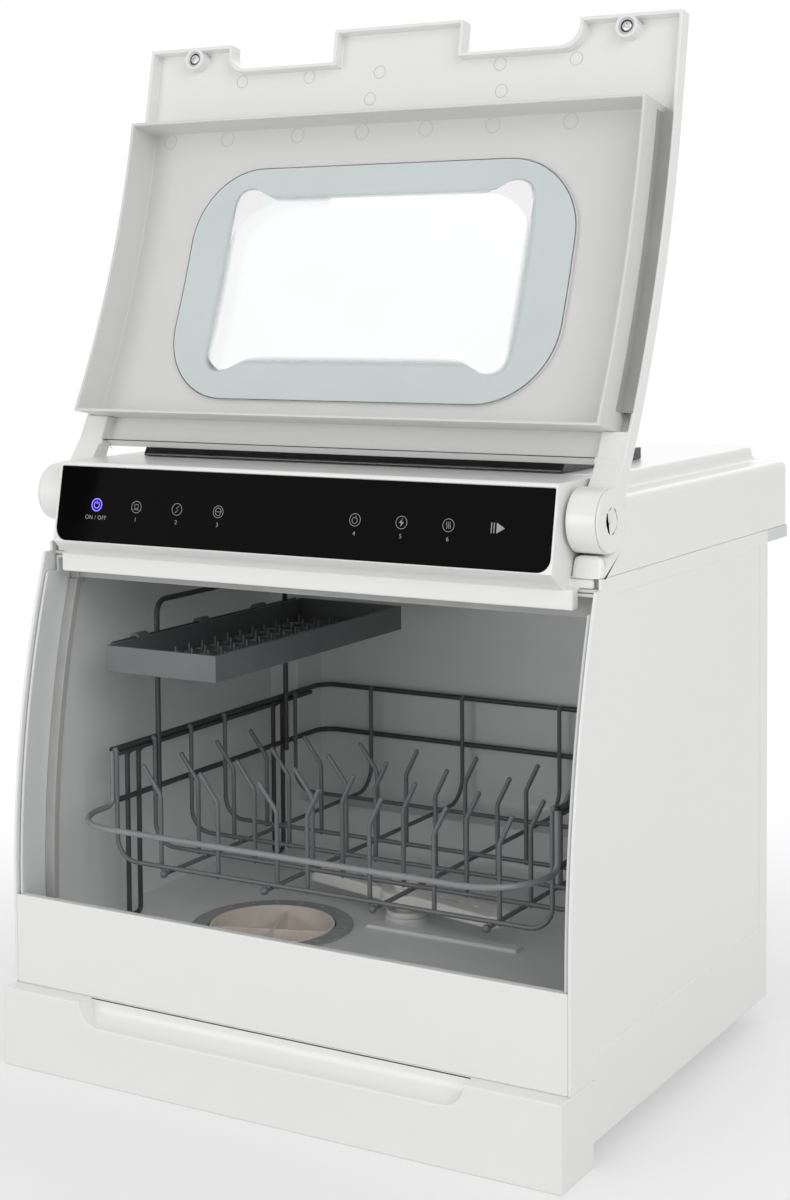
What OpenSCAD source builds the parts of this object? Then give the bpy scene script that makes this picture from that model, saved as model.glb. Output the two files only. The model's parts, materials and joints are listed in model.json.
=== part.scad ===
// Countertop dishwasher with a door that swings up and over the top.
// Lengths in mm, +Z up, +X to the right of someone facing it. The origin is on the
// ground, under the middle of the overall width and depth. The modules are written with
// y = 0 on the lower front panel and +Y towards the back, and place() moves them.

/* [Cabinet] */
// Width of the cabinet
body_w = 420; // [400:1:440]
// Depth from the lower front panel to the rear panel
body_d = 328; // [320:1:350]
// Thickness of the outer panels
panel_t = 2.2; // [1.8:0.1:2.6]
// Height of the stepped plinth
plinth_h = 54; // [50:1:58]
// How far the plinth stands in front of the lower panel
plinth_step = 12.5; // [11:0.5:14]
// Height of the pan under the cabinet, which is the height of the rear feet
foot_h = 15; // [12:1:18]
// Height of the sill, the lower edge of the loading opening
sill_z = 115; // [112:1:118]
// Radius of the front edge where it curves back above the sill
face_r = 740; // [700:10:800]
// Height of the joint between the side panels and the top cover
seam_z = 352.5; // [351:0.5:354]
// Height of the shoulders of the top cover above that joint
shoulder_h = 47; // [46:0.5:48]
// Height of the raised deck above the shoulders
deck_h = 10.5; // [9.5:0.5:11]
// How far the top cover reaches behind the rear panel
overhang = 40.5; // [36:0.5:44]
// Half width of the finger recess in the plinth
grip_half_w = 145; // [130:1:160]
// Depth of the large recess in each side panel
side_recess = 0.8; // [0.4:0.1:1]

/* [Door] */
// Depth of the hinge axis behind the lower front panel
hinge_y = 54; // [53:0.5:55]
// Height of the hinge axis
hinge_z = 386.5; // [386:0.5:387]
// Angle the door swings through, from shut to open
door_swing = 190.7; // [170:0.1:191]
// Thickness of the door at its flange
door_t = 11.5; // [11:0.5:13]
// Wall of the door shell
door_wall = 2.5; // [2:0.1:3]
// Radius of the hinge barrels
barrel_r = 20; // [18:0.5:20.5]
// Length of each hinge barrel
barrel_l = 20.7; // [18:0.1:21]
// Radius of the hinge pins
pin_r = 6; // [4:0.25:7]
// Radial clearance of the turning fits
fit = 0.05; // [0.02:0.01:0.1]
// Height of the liner rim above the line of the cabinet's front edge
liner_rise = 26; // [22:0.5:26]
// Half width of the glazed area
window_half_w = 151; // [140:1:156]
// Lower edge of the window, with the door shut
window_lo = 148; // [145:1:155]
// Upper edge of the window, with the door shut
window_hi = 316; // [300:1:318]
// Corner radius of the window
window_r = 54; // [40:1:60]

/* [Controls and lid] */
// Thickness of the control glass
glass_t = 2.4; // [2:0.1:3]
// Number of touch keys
key_count = 8; // [4:1:8]
// Half width of the smoked lid
lid_half_w = 162.4; // [150:0.2:165]
// Depth of the smoked lid
lid_d = 122; // [112:1:126]
// Height of the smoked lid above the deck
lid_h = 8.3; // [7:0.1:8.5]
// Travel of the smoked lid
lid_travel = 95; // [60:1:110]

/* [Washing] */
// Height of the tub floor
floor_z = 80; // [79:0.5:82]
// Wall of the tub
tub_t = 2.2; // [1.8:0.1:2.6]
// Radius of the filter basket
filter_r = 44; // [36:0.5:46]
// Half length of the spray arm
arm_l = 92; // [70:1:100]
// Outer radius of the motor of the wash pump
motor_r = 24; // [20:0.5:25]

/* [Rack] */
// Room between the rack's rim and the outside of the cabinet
rack_side_room = 38; // [38:1:44]
// Radius of the thick wires
wire_r = 2; // [1.7:0.1:2.1]
// Radius of the thin wires and tines
tine_r = 1.6; // [1.2:0.1:1.7]
// Travel of the rack
rack_travel = 180; // [100:1:190]
// Width of the cutlery tray
tray_w = 92; // [80:1:94]
// Depth of the cutlery tray
tray_d = 246; // [200:2:250]

/* [Hidden] */
$fn = 64;
half_w = body_w / 2;
housing_half_w = half_w - barrel_l - 1;
liner_half_w = half_w - 9.5;
rack_half_w = half_w - rack_side_room;
inner_half_w = half_w - panel_t;
rear_y = body_d + overhang;
mid_y = (rear_y - plinth_step) / 2;
plinth_back = 32;
wall = 2.5;
gap = 0.3;
shoulder_z = seam_z + shoulder_h;
top_z = shoulder_z + deck_h;
under_z = seam_z - 9;
bay_half_w = half_w - 24;
bay_rear = rear_y - 2.5;
bay_z = 98;
niche_half_w = bay_half_w - panel_t - 3;
niche_rear = bay_rear - 18;
niche_z = bay_z + 16;

// ---- shared helpers -------------------------------------------------------------------

module place() {
  translate([0, -mid_y, 0]) children();
}

// Extrudes a (y, z) outline from x0 to x1.
module along_x(x0, x1) {
  translate([x0, 0, 0]) rotate([90, 0, 90]) linear_extrude(x1 - x0) children();
}

// Extrudes an (x, z) outline from y0 to y1.
module along_y(y0, y1) {
  translate([0, y1, 0]) rotate([90, 0, 0]) linear_extrude(y1 - y0) children();
}

module box(x0, x1, y0, y1, z0, z1) {
  translate([x0, y0, z0]) cube([x1 - x0, y1 - y0, z1 - z0]);
}

module both_sides() {
  children();
  mirror([1, 0, 0]) children();
}

// Rectangle with four round corners.
module round_rect(x0, x1, z0, z1, r) {
  translate([x0 + r, z0]) square([x1 - x0 - 2 * r, z1 - z0]);
  translate([x0, z0 + r]) square([x1 - x0, z1 - z0 - 2 * r]);
  for (x = [x0 + r, x1 - r], z = [z0 + r, z1 - r]) translate([x, z]) circle(r);
}

module disc_x(x0, x1, y, z, r) {
  translate([x0, y, z]) rotate([0, 90, 0]) cylinder(h = x1 - x0, r = r);
}

module disc_y(x, y0, y1, z, r) {
  translate([x, y1, z]) rotate([90, 0, 0]) cylinder(h = y1 - y0, r = r);
}

module disc_z(x, y, z0, z1, r) {
  translate([x, y, z0]) cylinder(h = z1 - z0, r = r);
}

// Everything behind the curved front edge, in (y, z), moved back by off.
module behind_front(off, z0, z1, y1) {
  intersection() {
    translate([off, z0]) square([y1 - off, z1 - z0]);
    union() {
      translate([face_r + off, sill_z]) circle(face_r, $fn = 360);
      translate([off, z0 - 1]) square([y1, sill_z - z0 + 1]);
    }
  }
}

// A layer that follows the front edge, from off0 to off1 behind it.
module front_layer(off0, off1, z0, z1) {
  difference() {
    behind_front(off0, z0, z1, 200);
    behind_front(off1, z0 - 1, z1 + 1, 300);
  }
}

function front_y(z) = z <= sill_z ? 0 : face_r - sqrt(pow(face_r, 2) - pow(z - sill_z, 2));

function toward(a, b) = (b - a) / norm(b - a);

// Radius of the bend at point i: bend is one radius or a list with one for each point.
function bend_at(bend, i) = is_list(bend) ? bend[i] : bend;

// Length of straight wire that the bend at point i takes up.
function bend_cut(p, i, bend) = i == 0 || i == len(p) - 1 ? 0
  : bend_at(bend, i) * tan(acos(toward(p[i - 1], p[i]) * toward(p[i], p[i + 1])) / 2);

// A straight wire from a to b.
module wire(a, b, r) {
  d = b - a;
  translate(a) rotate([0, acos(d[2] / norm(d)), atan2(d[1], d[0])])
    cylinder(h = norm(d), r = r, $fn = 20);
}

// A wire through the points, bent to a radius at each corner.
module bent_wire(p, r, bend = 8) {
  for (i = [0 : len(p) - 2]) {
    d = toward(p[i], p[i + 1]);
    wire(p[i] + d * bend_cut(p, i, bend), p[i + 1] - d * bend_cut(p, i + 1, bend), r);
  }
  for (i = [1 : len(p) - 2]) {
    u = toward(p[i - 1], p[i]);
    v = toward(p[i], p[i + 1]);
    a = acos(u * v);
    n = cross(u, v) / norm(cross(u, v));
    e = cross(u, n);
    b = bend_at(bend, i);
    c = p[i] - u * bend_cut(p, i, bend) - e * b;
    multmatrix([[e[0], u[0], n[0], c[0]], [e[1], u[1], n[1], c[1]], [e[2], u[2], n[2], c[2]]])
      rotate_extrude(angle = a, $fn = 48) translate([b, 0]) circle(r, $fn = 20);
  }
}

// A wire's round coated tip.
module tip(p, r, turn = [77, 31, 13]) {
  translate(p) rotate(turn) sphere(r, $fn = 20);
}

// ---- cabinet --------------------------------------------------------------------------

grip_depth = 15.5;
grip_scoop_r = plinth_step;
pan_t = 3;

module grip_recess() {
  intersection() {
    along_x(-grip_half_w, grip_half_w) union() {
      translate([-plinth_step, plinth_h - grip_depth + grip_scoop_r]) circle(grip_scoop_r);
      translate([-plinth_step - 5, plinth_h - grip_depth + grip_scoop_r])
        square([plinth_step + 5, grip_depth]);
      translate([-plinth_step - 5, plinth_h - grip_depth]) square([5, grip_depth * 2]);
    }
    along_y(-plinth_step - 5, 5)
      round_rect(-grip_half_w, grip_half_w, plinth_h - grip_depth, plinth_h + 20, grip_depth);
  }
}

module base_plinth() {
  color("whitesmoke") difference() {
    union() {
      box(-half_w, half_w, -plinth_step, plinth_back, 0, plinth_h);
      box(-inner_half_w, inner_half_w, plinth_back - 1, body_d - panel_t, foot_h, foot_h + pan_t);
    }
    difference() {
      box(-half_w + pan_t, half_w - pan_t, -plinth_step + pan_t, plinth_back - pan_t, -1,
        plinth_h - pan_t);
      box(-half_w, half_w, -plinth_step, pan_t + 1, plinth_h - grip_depth - pan_t, plinth_h);
    }
    grip_recess();
    for (x = [-1, 1], y = [0.3, 0.7])
      disc_z(x * foot_x, plinth_back + y * (foot_y - plinth_back) - 30, 0, plinth_h, 2);
  }
}

module lower_front_panel() {
  lip_d = 6;
  lip_half_w = tub_in_w - 0.2;
  color("white") {
    box(-inner_half_w, inner_half_w, 0, panel_t, plinth_h, sill_z);
    box(-lip_half_w, lip_half_w, 0, lip_d, sill_z - panel_t, sill_z);
  }
}

barrel_notch_y = 44;
notch_z = 346;

module side_panel() {
  recess_in = 33;
  recess_rear = 14;
  recess_lo = 68;
  color("white") difference() {
    along_x(inner_half_w, half_w) union() {
      behind_front(0, plinth_h, notch_z, body_d);
      translate([barrel_notch_y, notch_z - 1]) square([body_d - barrel_notch_y, seam_z - notch_z + 1]);
      translate([plinth_back, foot_h]) square([body_d - plinth_back, plinth_h - foot_h + 1]);
    }
    along_x(half_w - side_recess, half_w + 1)
      behind_front(recess_in, recess_lo, under_z - 2, body_d - recess_rear);
  }
}

module side_panel_left() {
  mirror([1, 0, 0]) side_panel();
}

module side_panel_right() {
  side_panel();
}

port_z = 60;
inlet_thread_r = 13.2;
valve_x = 80;
spigot_x = -139;
inlet_x = 165;
valve_bore_r = inlet_thread_r + 1.8;

module rear_panel() {
  slot_count = 7;
  color("gainsboro") difference() {
    union() {
      box(-inner_half_w, inner_half_w, body_d - panel_t, body_d, foot_h, under_z);
      box(-bay_half_w, bay_half_w, body_d - panel_t, bay_rear, bay_z, under_z);
    }
    box(-bay_half_w + panel_t, bay_half_w - panel_t, body_d - panel_t - 1, bay_rear - panel_t,
      bay_z + panel_t, under_z + 1);
    disc_y(valve_x, body_d - 5, body_d + 5, port_z, valve_bore_r);
    disc_y(spigot_x, body_d - 5, body_d + 5, pump_z, 10);
    box(inlet_x - 14, inlet_x + 14, body_d - 5, body_d + 5, port_z - 11, port_z + 11);
    for (i = [0 : slot_count - 1])
      box(-60, 20, body_d - 5, body_d + 5, 34 + i * 8, 37 + i * 8);
    for (s = [-1, 1], z = screw_zs) disc_y(s * screw_x, body_d - 5, body_d + 5, z, 2);
  }
}

screw_x = half_w - 12;
screw_zs = [30, 110, 220, 325];
hose_y = bay_rear - panel_t - 9.1;
riser_y = body_d - panel_t - 7.2;
riser_z = niche_z - 6.6;
feed_x = -100;
fan_x = 150;
fan_y = 255;
duct_r = 15;

module top_frame() {
  color("whitesmoke") difference() {
    union() {
      box(-inner_half_w, inner_half_w, 46.5, body_d, under_z, under_z + wall);
      box(-half_w, half_w, body_d, rear_y, under_z, seam_z);
    }
    box(-half_w + wall, half_w - wall, body_d - 1, rear_y - wall, under_z + wall, seam_z + 1);
    disc_z(fan_x, fan_y, under_z - 1, seam_z, duct_r + gap);
    disc_z(valve_x, hose_y, under_z - 1, seam_z, 5.5);
    disc_z(feed_x, hose_y, under_z - 1, seam_z, 6.3);
  }
}

// The cheek beside a hinge barrel, in (y, z): grow keeps that much more distance from the
// barrel and its arm.
module cheek(grow) {
  far = 200;
  front_a = 16.4;
  arm_a = 65;
  arm_gap = 1.2;
  difference() {
    translate([barrel_notch_y + grow, seam_z - grow])
      square([rear_y - barrel_notch_y - 2 * grow, shoulder_h]);
    translate([hinge_y, hinge_z]) circle(barrel_r + arm_gap + grow);
    translate([grow, -grow]) polygon([[hinge_y, hinge_z],
      [hinge_y - far * sin(front_a), hinge_z - far * cos(front_a)],
      [-far, hinge_z - far], [-far, hinge_z + far],
      [hinge_y + far, hinge_z + far],
      [hinge_y + barrel_r + arm_gap + far * cos(arm_a), hinge_z + far * sin(arm_a)],
      [hinge_y + barrel_r + arm_gap, hinge_z]]);
  }
}

deck_half_w = half_w - 20;
deck_front = 88;
deck_rear_in = 15.5;
mouth_half_w = 70;
mouth_y0 = 104;
mouth_y1 = 176;
lid_y = 90.5;
hook_x = 110;
hook_w = 4;
hook_y = lid_y + 8;
hook_l = 10;

module top_cover() {
  color("white") difference() {
    union() {
      along_x(housing_half_w + gap, half_w) cheek(0);
      along_x(-half_w, -housing_half_w - gap) cheek(0);
      box(-half_w, half_w, deck_front, rear_y, seam_z, shoulder_z);
      box(-deck_half_w, deck_half_w, deck_front, rear_y - deck_rear_in, shoulder_z - 1, top_z);
    }
    along_x(housing_half_w + gap + wall, half_w - wall) cheek(wall);
    along_x(-half_w + wall, -housing_half_w - gap - wall) cheek(wall);
    box(-half_w + wall, half_w - wall, deck_front + wall, rear_y - wall, seam_z - 1,
      shoulder_z - wall);
    box(-deck_half_w + wall, deck_half_w - wall, deck_front + wall, rear_y - deck_rear_in - wall,
      seam_z, top_z - wall);
    box(-mouth_half_w, mouth_half_w, mouth_y0, mouth_y1, top_z - 5, top_z + 5);
    both_sides() box(hook_x - gap, hook_x + hook_w + gap, hook_y - gap,
      hook_y + hook_l + lid_travel + gap, top_z - 5, top_z + 5);
  }
}

// ---- controls -------------------------------------------------------------------------

sweep_r = 44.2;
glass_lo = [21.5, 357.5];
glass_h = 50.4;
glass_tilt = 10.9;
glass_half_w = housing_half_w - 2;
strip_half_w = half_w - 16;
strip_y = 37.5;
strip_z = 333.5;
strip_d = 8.5;
housing_z = 346.2;

// Everything in front of the sloped control face, in (y, z), pushed in by depth.
module ahead_of_glass(depth) {
  translate(glass_lo) rotate(-glass_tilt) translate([-100 + depth, -60]) square([100, 160]);
}

module housing_outline(inset) {
  difference() {
    union() {
      intersection() {
        translate([hinge_y, hinge_z]) circle(sweep_r - inset, $fn = 128);
        translate([0, housing_z + inset]) square([deck_front, top_z - housing_z - 2 * inset]);
      }
      translate([hinge_y, housing_z + inset])
        square([deck_front - hinge_y - inset, top_z - housing_z - 2 * inset]);
      translate([glass_lo[0], hinge_z])
        square([deck_front - glass_lo[0] - inset, top_z - hinge_z - inset]);
    }
    ahead_of_glass(inset);
  }
}

// A flat piece behind the sloped control face, given as an (x, height) outline.
module on_slope(depth0, depth1) {
  translate([0, glass_lo[0], glass_lo[1]]) rotate([-glass_tilt, 0, 0])
    along_y(depth0, depth1) children();
}

module glass_outline(grow) {
  corner = 9;
  difference() {
    translate([-glass_half_w - grow, -grow])
      square([2 * (glass_half_w + grow), glass_h + 2 * grow]);
    for (s = [-1, 1]) translate([s * (glass_half_w + grow - corner), corner - grow])
      difference() {
        translate([s > 0 ? 0 : -corner - 1, -corner - 1]) square(corner + 1);
        circle(corner);
      }
  }
}

key_pitch = 33.3;
function key_x(i) = i < 4 ? -154 + key_pitch * i : 150 - key_pitch * (key_count - 1 - i);
key_h = 25;
spring_r = 3.4;
board_depth = 9;

module control_housing() {
  color("white") difference() {
    union() {
      along_x(-housing_half_w, housing_half_w) housing_outline(0);
      box(-strip_half_w, strip_half_w, strip_y, strip_y + strip_d, strip_z, housing_z);
      box(-housing_half_w, housing_half_w, strip_y, strip_y + strip_d, housing_z - 1, housing_z + 2);
      both_sides() box(housing_half_w - wall, strip_half_w + 10, strip_y + strip_d - 0.5,
        strip_y + strip_d + 2, housing_z, seam_z - 0.3);
    }
    along_x(-housing_half_w + wall, housing_half_w - wall) housing_outline(glass_t + wall);
    on_slope(-2, glass_t) glass_outline(0.12);
    on_slope(0, board_depth - 1)
      for (i = [0 : key_count - 1]) translate([key_x(i), key_h]) circle(spring_r + 0.6);
    disc_x(-half_w, half_w, hinge_y, hinge_z, pin_r + 0.01);
  }
}

module control_glass() {
  color([0.04, 0.04, 0.05]) on_slope(0, glass_t - 0.02) glass_outline(0);
}

module touch_springs() {
  color("silver") on_slope(glass_t, board_depth)
    for (i = [0 : key_count - 1]) translate([key_x(i), key_h]) circle(spring_r);
}

module control_board() {
  board_half_w = glass_half_w - 14.3;
  color("darkgreen") {
    on_slope(board_depth, board_depth + 1.6) translate([-board_half_w, 12])
      square([2 * board_half_w, 30]);
    on_slope(board_depth + 1.6, board_depth + 4) for (x = [-120, -40, 40, 120])
      translate([x - 8, 18]) square([16, 14]);
  }
}

// ---- smoked lid over the filler -------------------------------------------------------

module fill_lid() {
  skin = 2;
  slope = 4;
  color([0.2, 0.2, 0.22, 0.7]) {
    difference() {
      along_x(-lid_half_w, lid_half_w) polygon([[lid_y, top_z + 0.2], [lid_y, top_z + 2],
        [lid_y + slope, top_z + lid_h], [lid_y + lid_d, top_z + lid_h], [lid_y + lid_d, top_z + 0.2]]);
      box(-lid_half_w + skin, lid_half_w - skin, lid_y + skin + 2, lid_y + lid_d - skin, top_z - 1,
        top_z + lid_h - skin);
    }
    both_sides() {
      box(hook_x, hook_x + hook_w, hook_y, hook_y + hook_l, top_z - wall - 3, top_z + lid_h - 1);
      box(hook_x - 3, hook_x + hook_w + 3, hook_y, hook_y + hook_l, top_z - wall - 3,
        top_z - wall - gap);
    }
  }
}

tank_x0 = -175;
tank_x1 = 100;
tank_y0 = 96;
tank_y1 = rear_y - wall - 3;
tank_z0 = 349;
tank_z1 = 394;
funnel_r = 36;
funnel_y = (mouth_y0 + mouth_y1) / 2;

module fill_funnel() {
  funnel_half_w = 66;
  color("lightgrey") difference() {
    union() {
      box(-funnel_half_w, funnel_half_w, mouth_y0 + 1, mouth_y1 - 1, top_z - 12, top_z - wall - 0.2);
      disc_z(0, funnel_y, tank_z1 - 8, top_z - 10, funnel_r);
    }
    box(-funnel_half_w + 2, funnel_half_w - 2, mouth_y0 + 3, mouth_y1 - 3, top_z - 10, top_z);
    disc_z(0, funnel_y, tank_z1 - 6, top_z, funnel_r - 2);
    for (x = [-24 : 8 : 24], y = [-24 : 8 : 24])
      if (norm([x, y]) < 28) disc_z(x, funnel_y + y, tank_z1 - 10, tank_z1, 2);
  }
}

module water_tank() {
  tank_wall = 2;
  color([0.85, 0.88, 0.9]) difference() {
    box(tank_x0, tank_x1, tank_y0, tank_y1, tank_z0, tank_z1);
    box(tank_x0 + tank_wall, tank_x1 - tank_wall, tank_y0 + tank_wall, tank_y1 - tank_wall,
      tank_z0 + tank_wall, tank_z1 - tank_wall);
    disc_z(0, funnel_y, tank_z1 - 5, tank_z1 + 1, funnel_r + gap);
    disc_z(valve_x, hose_y, tank_z0 - 1, tank_z0 + 5, 5.2);
    disc_z(feed_x, hose_y, tank_z0 - 1, tank_z0 + 5, 6.2);
  }
}

float_x = 60;
float_y = 280;
stem_r = 3;
float_travel = 24;

module level_stem() {
  color("white") {
    disc_z(float_x, float_y, tank_z0 + 2, tank_z1 - 2, stem_r);
    disc_z(float_x, float_y, tank_z0 + 2, tank_z0 + 4, 8);
  }
}

module level_float() {
  color("orange") difference() {
    disc_z(float_x, float_y, tank_z0 + 4.2, tank_z0 + 15, 13);
    disc_z(float_x, float_y, tank_z0, tank_z1, stem_r + fit * 2);
  }
}

// ---- tub, gasket, filter --------------------------------------------------------------

tub_half_w = inner_half_w - 1.2;
tub_in_w = tub_half_w - tub_t;
tub_off = panel_t + 0.2;
tub_rear = body_d - 16;
tub_top = under_z - 0.4;
tub_corner = 14;
filter_x = -77;
filter_y = 118;
filter_hole_r = filter_r + 3;
arm_y = 175;
post_r = 8;
seal_off = liner_rise + gap;
seal_w = 8;
liner_lo = sill_z + 1.6;
liner_hi = 330;

// Rounds one corner of a (y, z) outline that lies towards -sy and -sz of the point.
module corner_cut(y, z, sy, sz, r) {
  difference() {
    translate([y - (sy > 0 ? r : 1), z - (sz > 0 ? r : 1)]) square(r + 1);
    translate([y - sy * r, z - sz * r]) circle(r);
  }
}

module tub_outline(inset) {
  rear = tub_rear - inset;
  low = floor_z - tub_t + inset;
  difference() {
    behind_front(tub_off + (inset > 0 ? -10 : 0), low, tub_top - inset, rear);
    corner_cut(rear, low, 1, -1, tub_corner - inset);
    translate([0, strip_z - 1]) square([strip_y + strip_d + 0.3, 20]);
  }
}

// The deeper part of the tub behind the rack.
module niche_outline(inset) {
  rear = niche_rear - inset;
  difference() {
    translate([tub_rear - tub_t - 20, niche_z + inset])
      square([rear - tub_rear + tub_t + 20, tub_top - niche_z - 2 * inset]);
    corner_cut(rear, niche_z + inset, 1, -1, tub_corner - inset);
    corner_cut(rear, tub_top - inset, 1, 1, tub_corner - inset);
  }
}

module tub() {
  boss_r = post_r + 8;
  boss_h = 5;
  color("darkgrey") difference() {
    union() {
      difference() {
        union() {
          along_x(-tub_half_w, tub_half_w) tub_outline(0);
          along_x(-niche_half_w, niche_half_w) niche_outline(0);
        }
        difference() {
          along_x(-tub_in_w, tub_in_w) tub_outline(tub_t);
          box(-tub_half_w, tub_half_w, 0, tub_off + tub_t, 0, sill_z - panel_t - 0.2);
        }
        along_x(-niche_half_w + tub_t, niche_half_w - tub_t) niche_outline(tub_t);
      }
      disc_z(0, arm_y, floor_z - 1, floor_z + boss_h, boss_r);
      box(-18, 100, arm_y - 28, arm_y - 17, floor_z - 1, floor_z + 2.4);
    }
    disc_z(filter_x, filter_y, 0, floor_z + 1, filter_hole_r);
    disc_z(0, arm_y, 0, floor_z + 20, post_r + fit);
    disc_z(fan_x, fan_y, tub_top - 5, tub_top + 5, duct_r + gap);
  }
}

module tub_gasket() {
  seal_t = 5.5;
  seal_top_y = 60.5;
  color("lightgrey") {
    both_sides() along_x(tub_in_w - seal_w, tub_in_w - 0.05)
      front_layer(seal_off, seal_off + seal_t, sill_z - 8, strip_z - 8);
    box(-tub_in_w + 0.05, tub_in_w - 0.05, seal_top_y, seal_top_y + seal_t, 326,
      tub_top - tub_t - 0.05);
    both_sides() box(tub_in_w - seal_w, tub_in_w - 0.05, seal_off, seal_off + seal_t,
      floor_z + 26, sill_z);
    both_sides() box(tub_in_w - seal_w, tub_in_w - 0.05, seal_top_y - 2, seal_top_y + seal_t,
      322, 331);
  }
}

module filter_plate() {
  color("grey") difference() {
    disc_z(filter_x, filter_y, floor_z + 0.02, floor_z + 1.4, filter_r + 13);
    disc_z(filter_x, filter_y, floor_z - 1, floor_z + 5, filter_r + 1);
    for (a = [0 : 20 : 340])
      disc_z(filter_x + (filter_r + 7) * cos(a), filter_y + (filter_r + 7) * sin(a), floor_z - 1,
        floor_z + 5, 2.2);
  }
}

sump_r = filter_hole_r + 3;
sump_lo = 34;
pump_z = 46;

module sump() {
  color("dimgrey") difference() {
    disc_z(filter_x, filter_y, sump_lo, floor_z - tub_t - 0.05, sump_r);
    disc_z(filter_x, filter_y, sump_lo + 3, floor_z, sump_r - 3);
    disc_x(filter_x, filter_x + 100, filter_y, pump_z, 7);
    disc_x(filter_x - 100, filter_x, filter_y, pump_z, 7);
    disc_y(feed_x, filter_y, filter_y + 100, port_z, 5.82);
  }
  color("dimgrey") difference() {
    disc_z(filter_x, filter_y, sump_lo + 2, floor_z - 24.2, sump_r - 2);
    disc_z(filter_x, filter_y, sump_lo, floor_z, filter_r - 10);
    disc_y(feed_x, filter_y, filter_y + 100, port_z, 5.82);
    disc_x(filter_x, filter_x + 100, filter_y, pump_z, 7);
    disc_x(filter_x - 100, filter_x, filter_y, pump_z, 7);
  }
}

module filter_basket() {
  cup = 2;
  cup_lo = floor_z - 24;
  color([0.75, 0.71, 0.66]) {
    difference() {
      union() {
        disc_z(filter_x, filter_y, cup_lo, floor_z + 2, filter_r);
      }
      disc_z(filter_x, filter_y, cup_lo + cup, floor_z + 10, filter_r - cup);
      for (a = [35 : 30 : 335], r = [20, 34])
        disc_z(filter_x + r * cos(a), filter_y + r * sin(a), 0, floor_z - 20, 2.2);
    }
    for (a = [20, 110]) translate([filter_x, filter_y, cup_lo + 1]) rotate(a)
      translate([-filter_r + 1, -1.1, 0]) cube([2 * filter_r - 2, 2.2, floor_z - cup_lo - 3]);
  }
}

// ---- pumps, heater, spray arm ---------------------------------------------------------

volute_x0 = filter_x + sump_r + 0.1;
volute_x1 = volute_x0 + 26;
motor_x1 = volute_x1 + 72;
volute_r = 24;
impeller_r = 19;
shaft_r = 3;

module wash_pump_housing() {
  color("black") difference() {
    disc_x(volute_x0, volute_x1, filter_y, pump_z, volute_r);
    disc_x(volute_x0 + 3, volute_x1 - 3, filter_y, pump_z, volute_r - 3);
    disc_x(volute_x0 - 1, volute_x0 + 5, filter_y, pump_z, 7);
    disc_x(volute_x1 - 5, volute_x1 + 1, filter_y, pump_z, shaft_r + fit);
    disc_y(volute_x0 + 13, filter_y, filter_y + 40, pump_z, 7);
  }
}

module impeller(x0, x1, shaft_x, r) {
  disc_x(x1 - 2, x1, filter_y, pump_z, r);
  disc_x(x0, x1 - 1, filter_y, pump_z, 6);
  for (a = [0 : 60 : 300]) translate([0, filter_y, pump_z]) rotate([a, 0, 0])
    box(x0 + 0.5, x1 - 1, -1, 1, 4, r - 1);
  disc_x(x1 - 1, shaft_x, filter_y, pump_z, shaft_r);
}

module wash_impeller() {
  color("orange") impeller(volute_x0 + 6, volute_x1 - 4, volute_x1 + 6, impeller_r);
}

module wash_motor() {
  color("silver") difference() {
    union() {
      disc_x(volute_x1 + 0.05, motor_x1, filter_y, pump_z, motor_r);
      disc_x(motor_x1 - 1, motor_x1 + 8, filter_y, pump_z, 9);
    }
    disc_x(volute_x1 - 1, volute_x1 + 12, filter_y, pump_z, shaft_r + fit);
    for (a = [0 : 45 : 315]) translate([0, filter_y, pump_z]) rotate([a, 0, 0])
      box(volute_x1 + 16, motor_x1 - 8, -2, 2, motor_r - 2, motor_r + 2);
  }
}

module motor_cradle() {
  color("black") difference() {
    box(volute_x1 + 14, motor_x1 - 14, filter_y - 18, filter_y + 18, foot_h + pan_t,
      pump_z - motor_r + 5);
    disc_x(volute_x1, motor_x1, filter_y, pump_z, motor_r + 0.05);
  }
}

heater_r = 14;
heater_x0 = -24;
heater_x1 = 96;
sleeve_r = 8.5;

module flow_heater() {
  color("silver") difference() {
    disc_x(heater_x0, heater_x1, arm_y, pump_z, heater_r);
    disc_x(heater_x0 + 3, heater_x1 - 3, arm_y, pump_z, heater_r - 1.5);
    disc_z(0, arm_y, pump_z, floor_z, post_r - 2);
    disc_y(volute_x0 + 13, arm_y - 40, arm_y, pump_z, 7);
  }
  color("silver") disc_x(heater_x1, heater_x1 + 6, arm_y, pump_z, 5);
}

module pump_sleeve() {
  color("black") difference() {
    disc_y(volute_x0 + 13, filter_y + volute_r - 4, arm_y - heater_r + 4, pump_z, sleeve_r);
    disc_y(volute_x0 + 13, filter_y, arm_y, pump_z, 7);
    disc_x(volute_x0 - 5, volute_x1 + 5, filter_y, pump_z, volute_r + 0.05);
    disc_x(heater_x0, heater_x1, arm_y, pump_z, heater_r + 0.05);
  }
}

arm_z = floor_z + 14;
arm_t = 9;
arm_rest_a = -13;

module spray_post() {
  color("lightgrey") difference() {
    union() {
      disc_z(0, arm_y, pump_z + heater_r - 1.5, arm_z - 0.4, post_r);
      disc_z(0, arm_y, arm_z - 1, arm_z + arm_t + 3, 5);
      disc_z(0, arm_y, floor_z + 5.05, floor_z + 9, 15);
    }
    disc_z(0, arm_y, pump_z, arm_z + 6, 3.6);
    disc_x(heater_x0, heater_x1, arm_y, pump_z, heater_r + 0.05);
    disc_x(-20, 20, arm_y, arm_z + 5, 2.4);
  }
}

module arm_outline(half_l, w) {
  translate([-half_l + w / 2, -w / 2]) square([2 * half_l - w, w]);
  for (s = [-1, 1]) translate([s * (half_l - w / 2), 0]) circle(w / 2);
}

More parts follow.
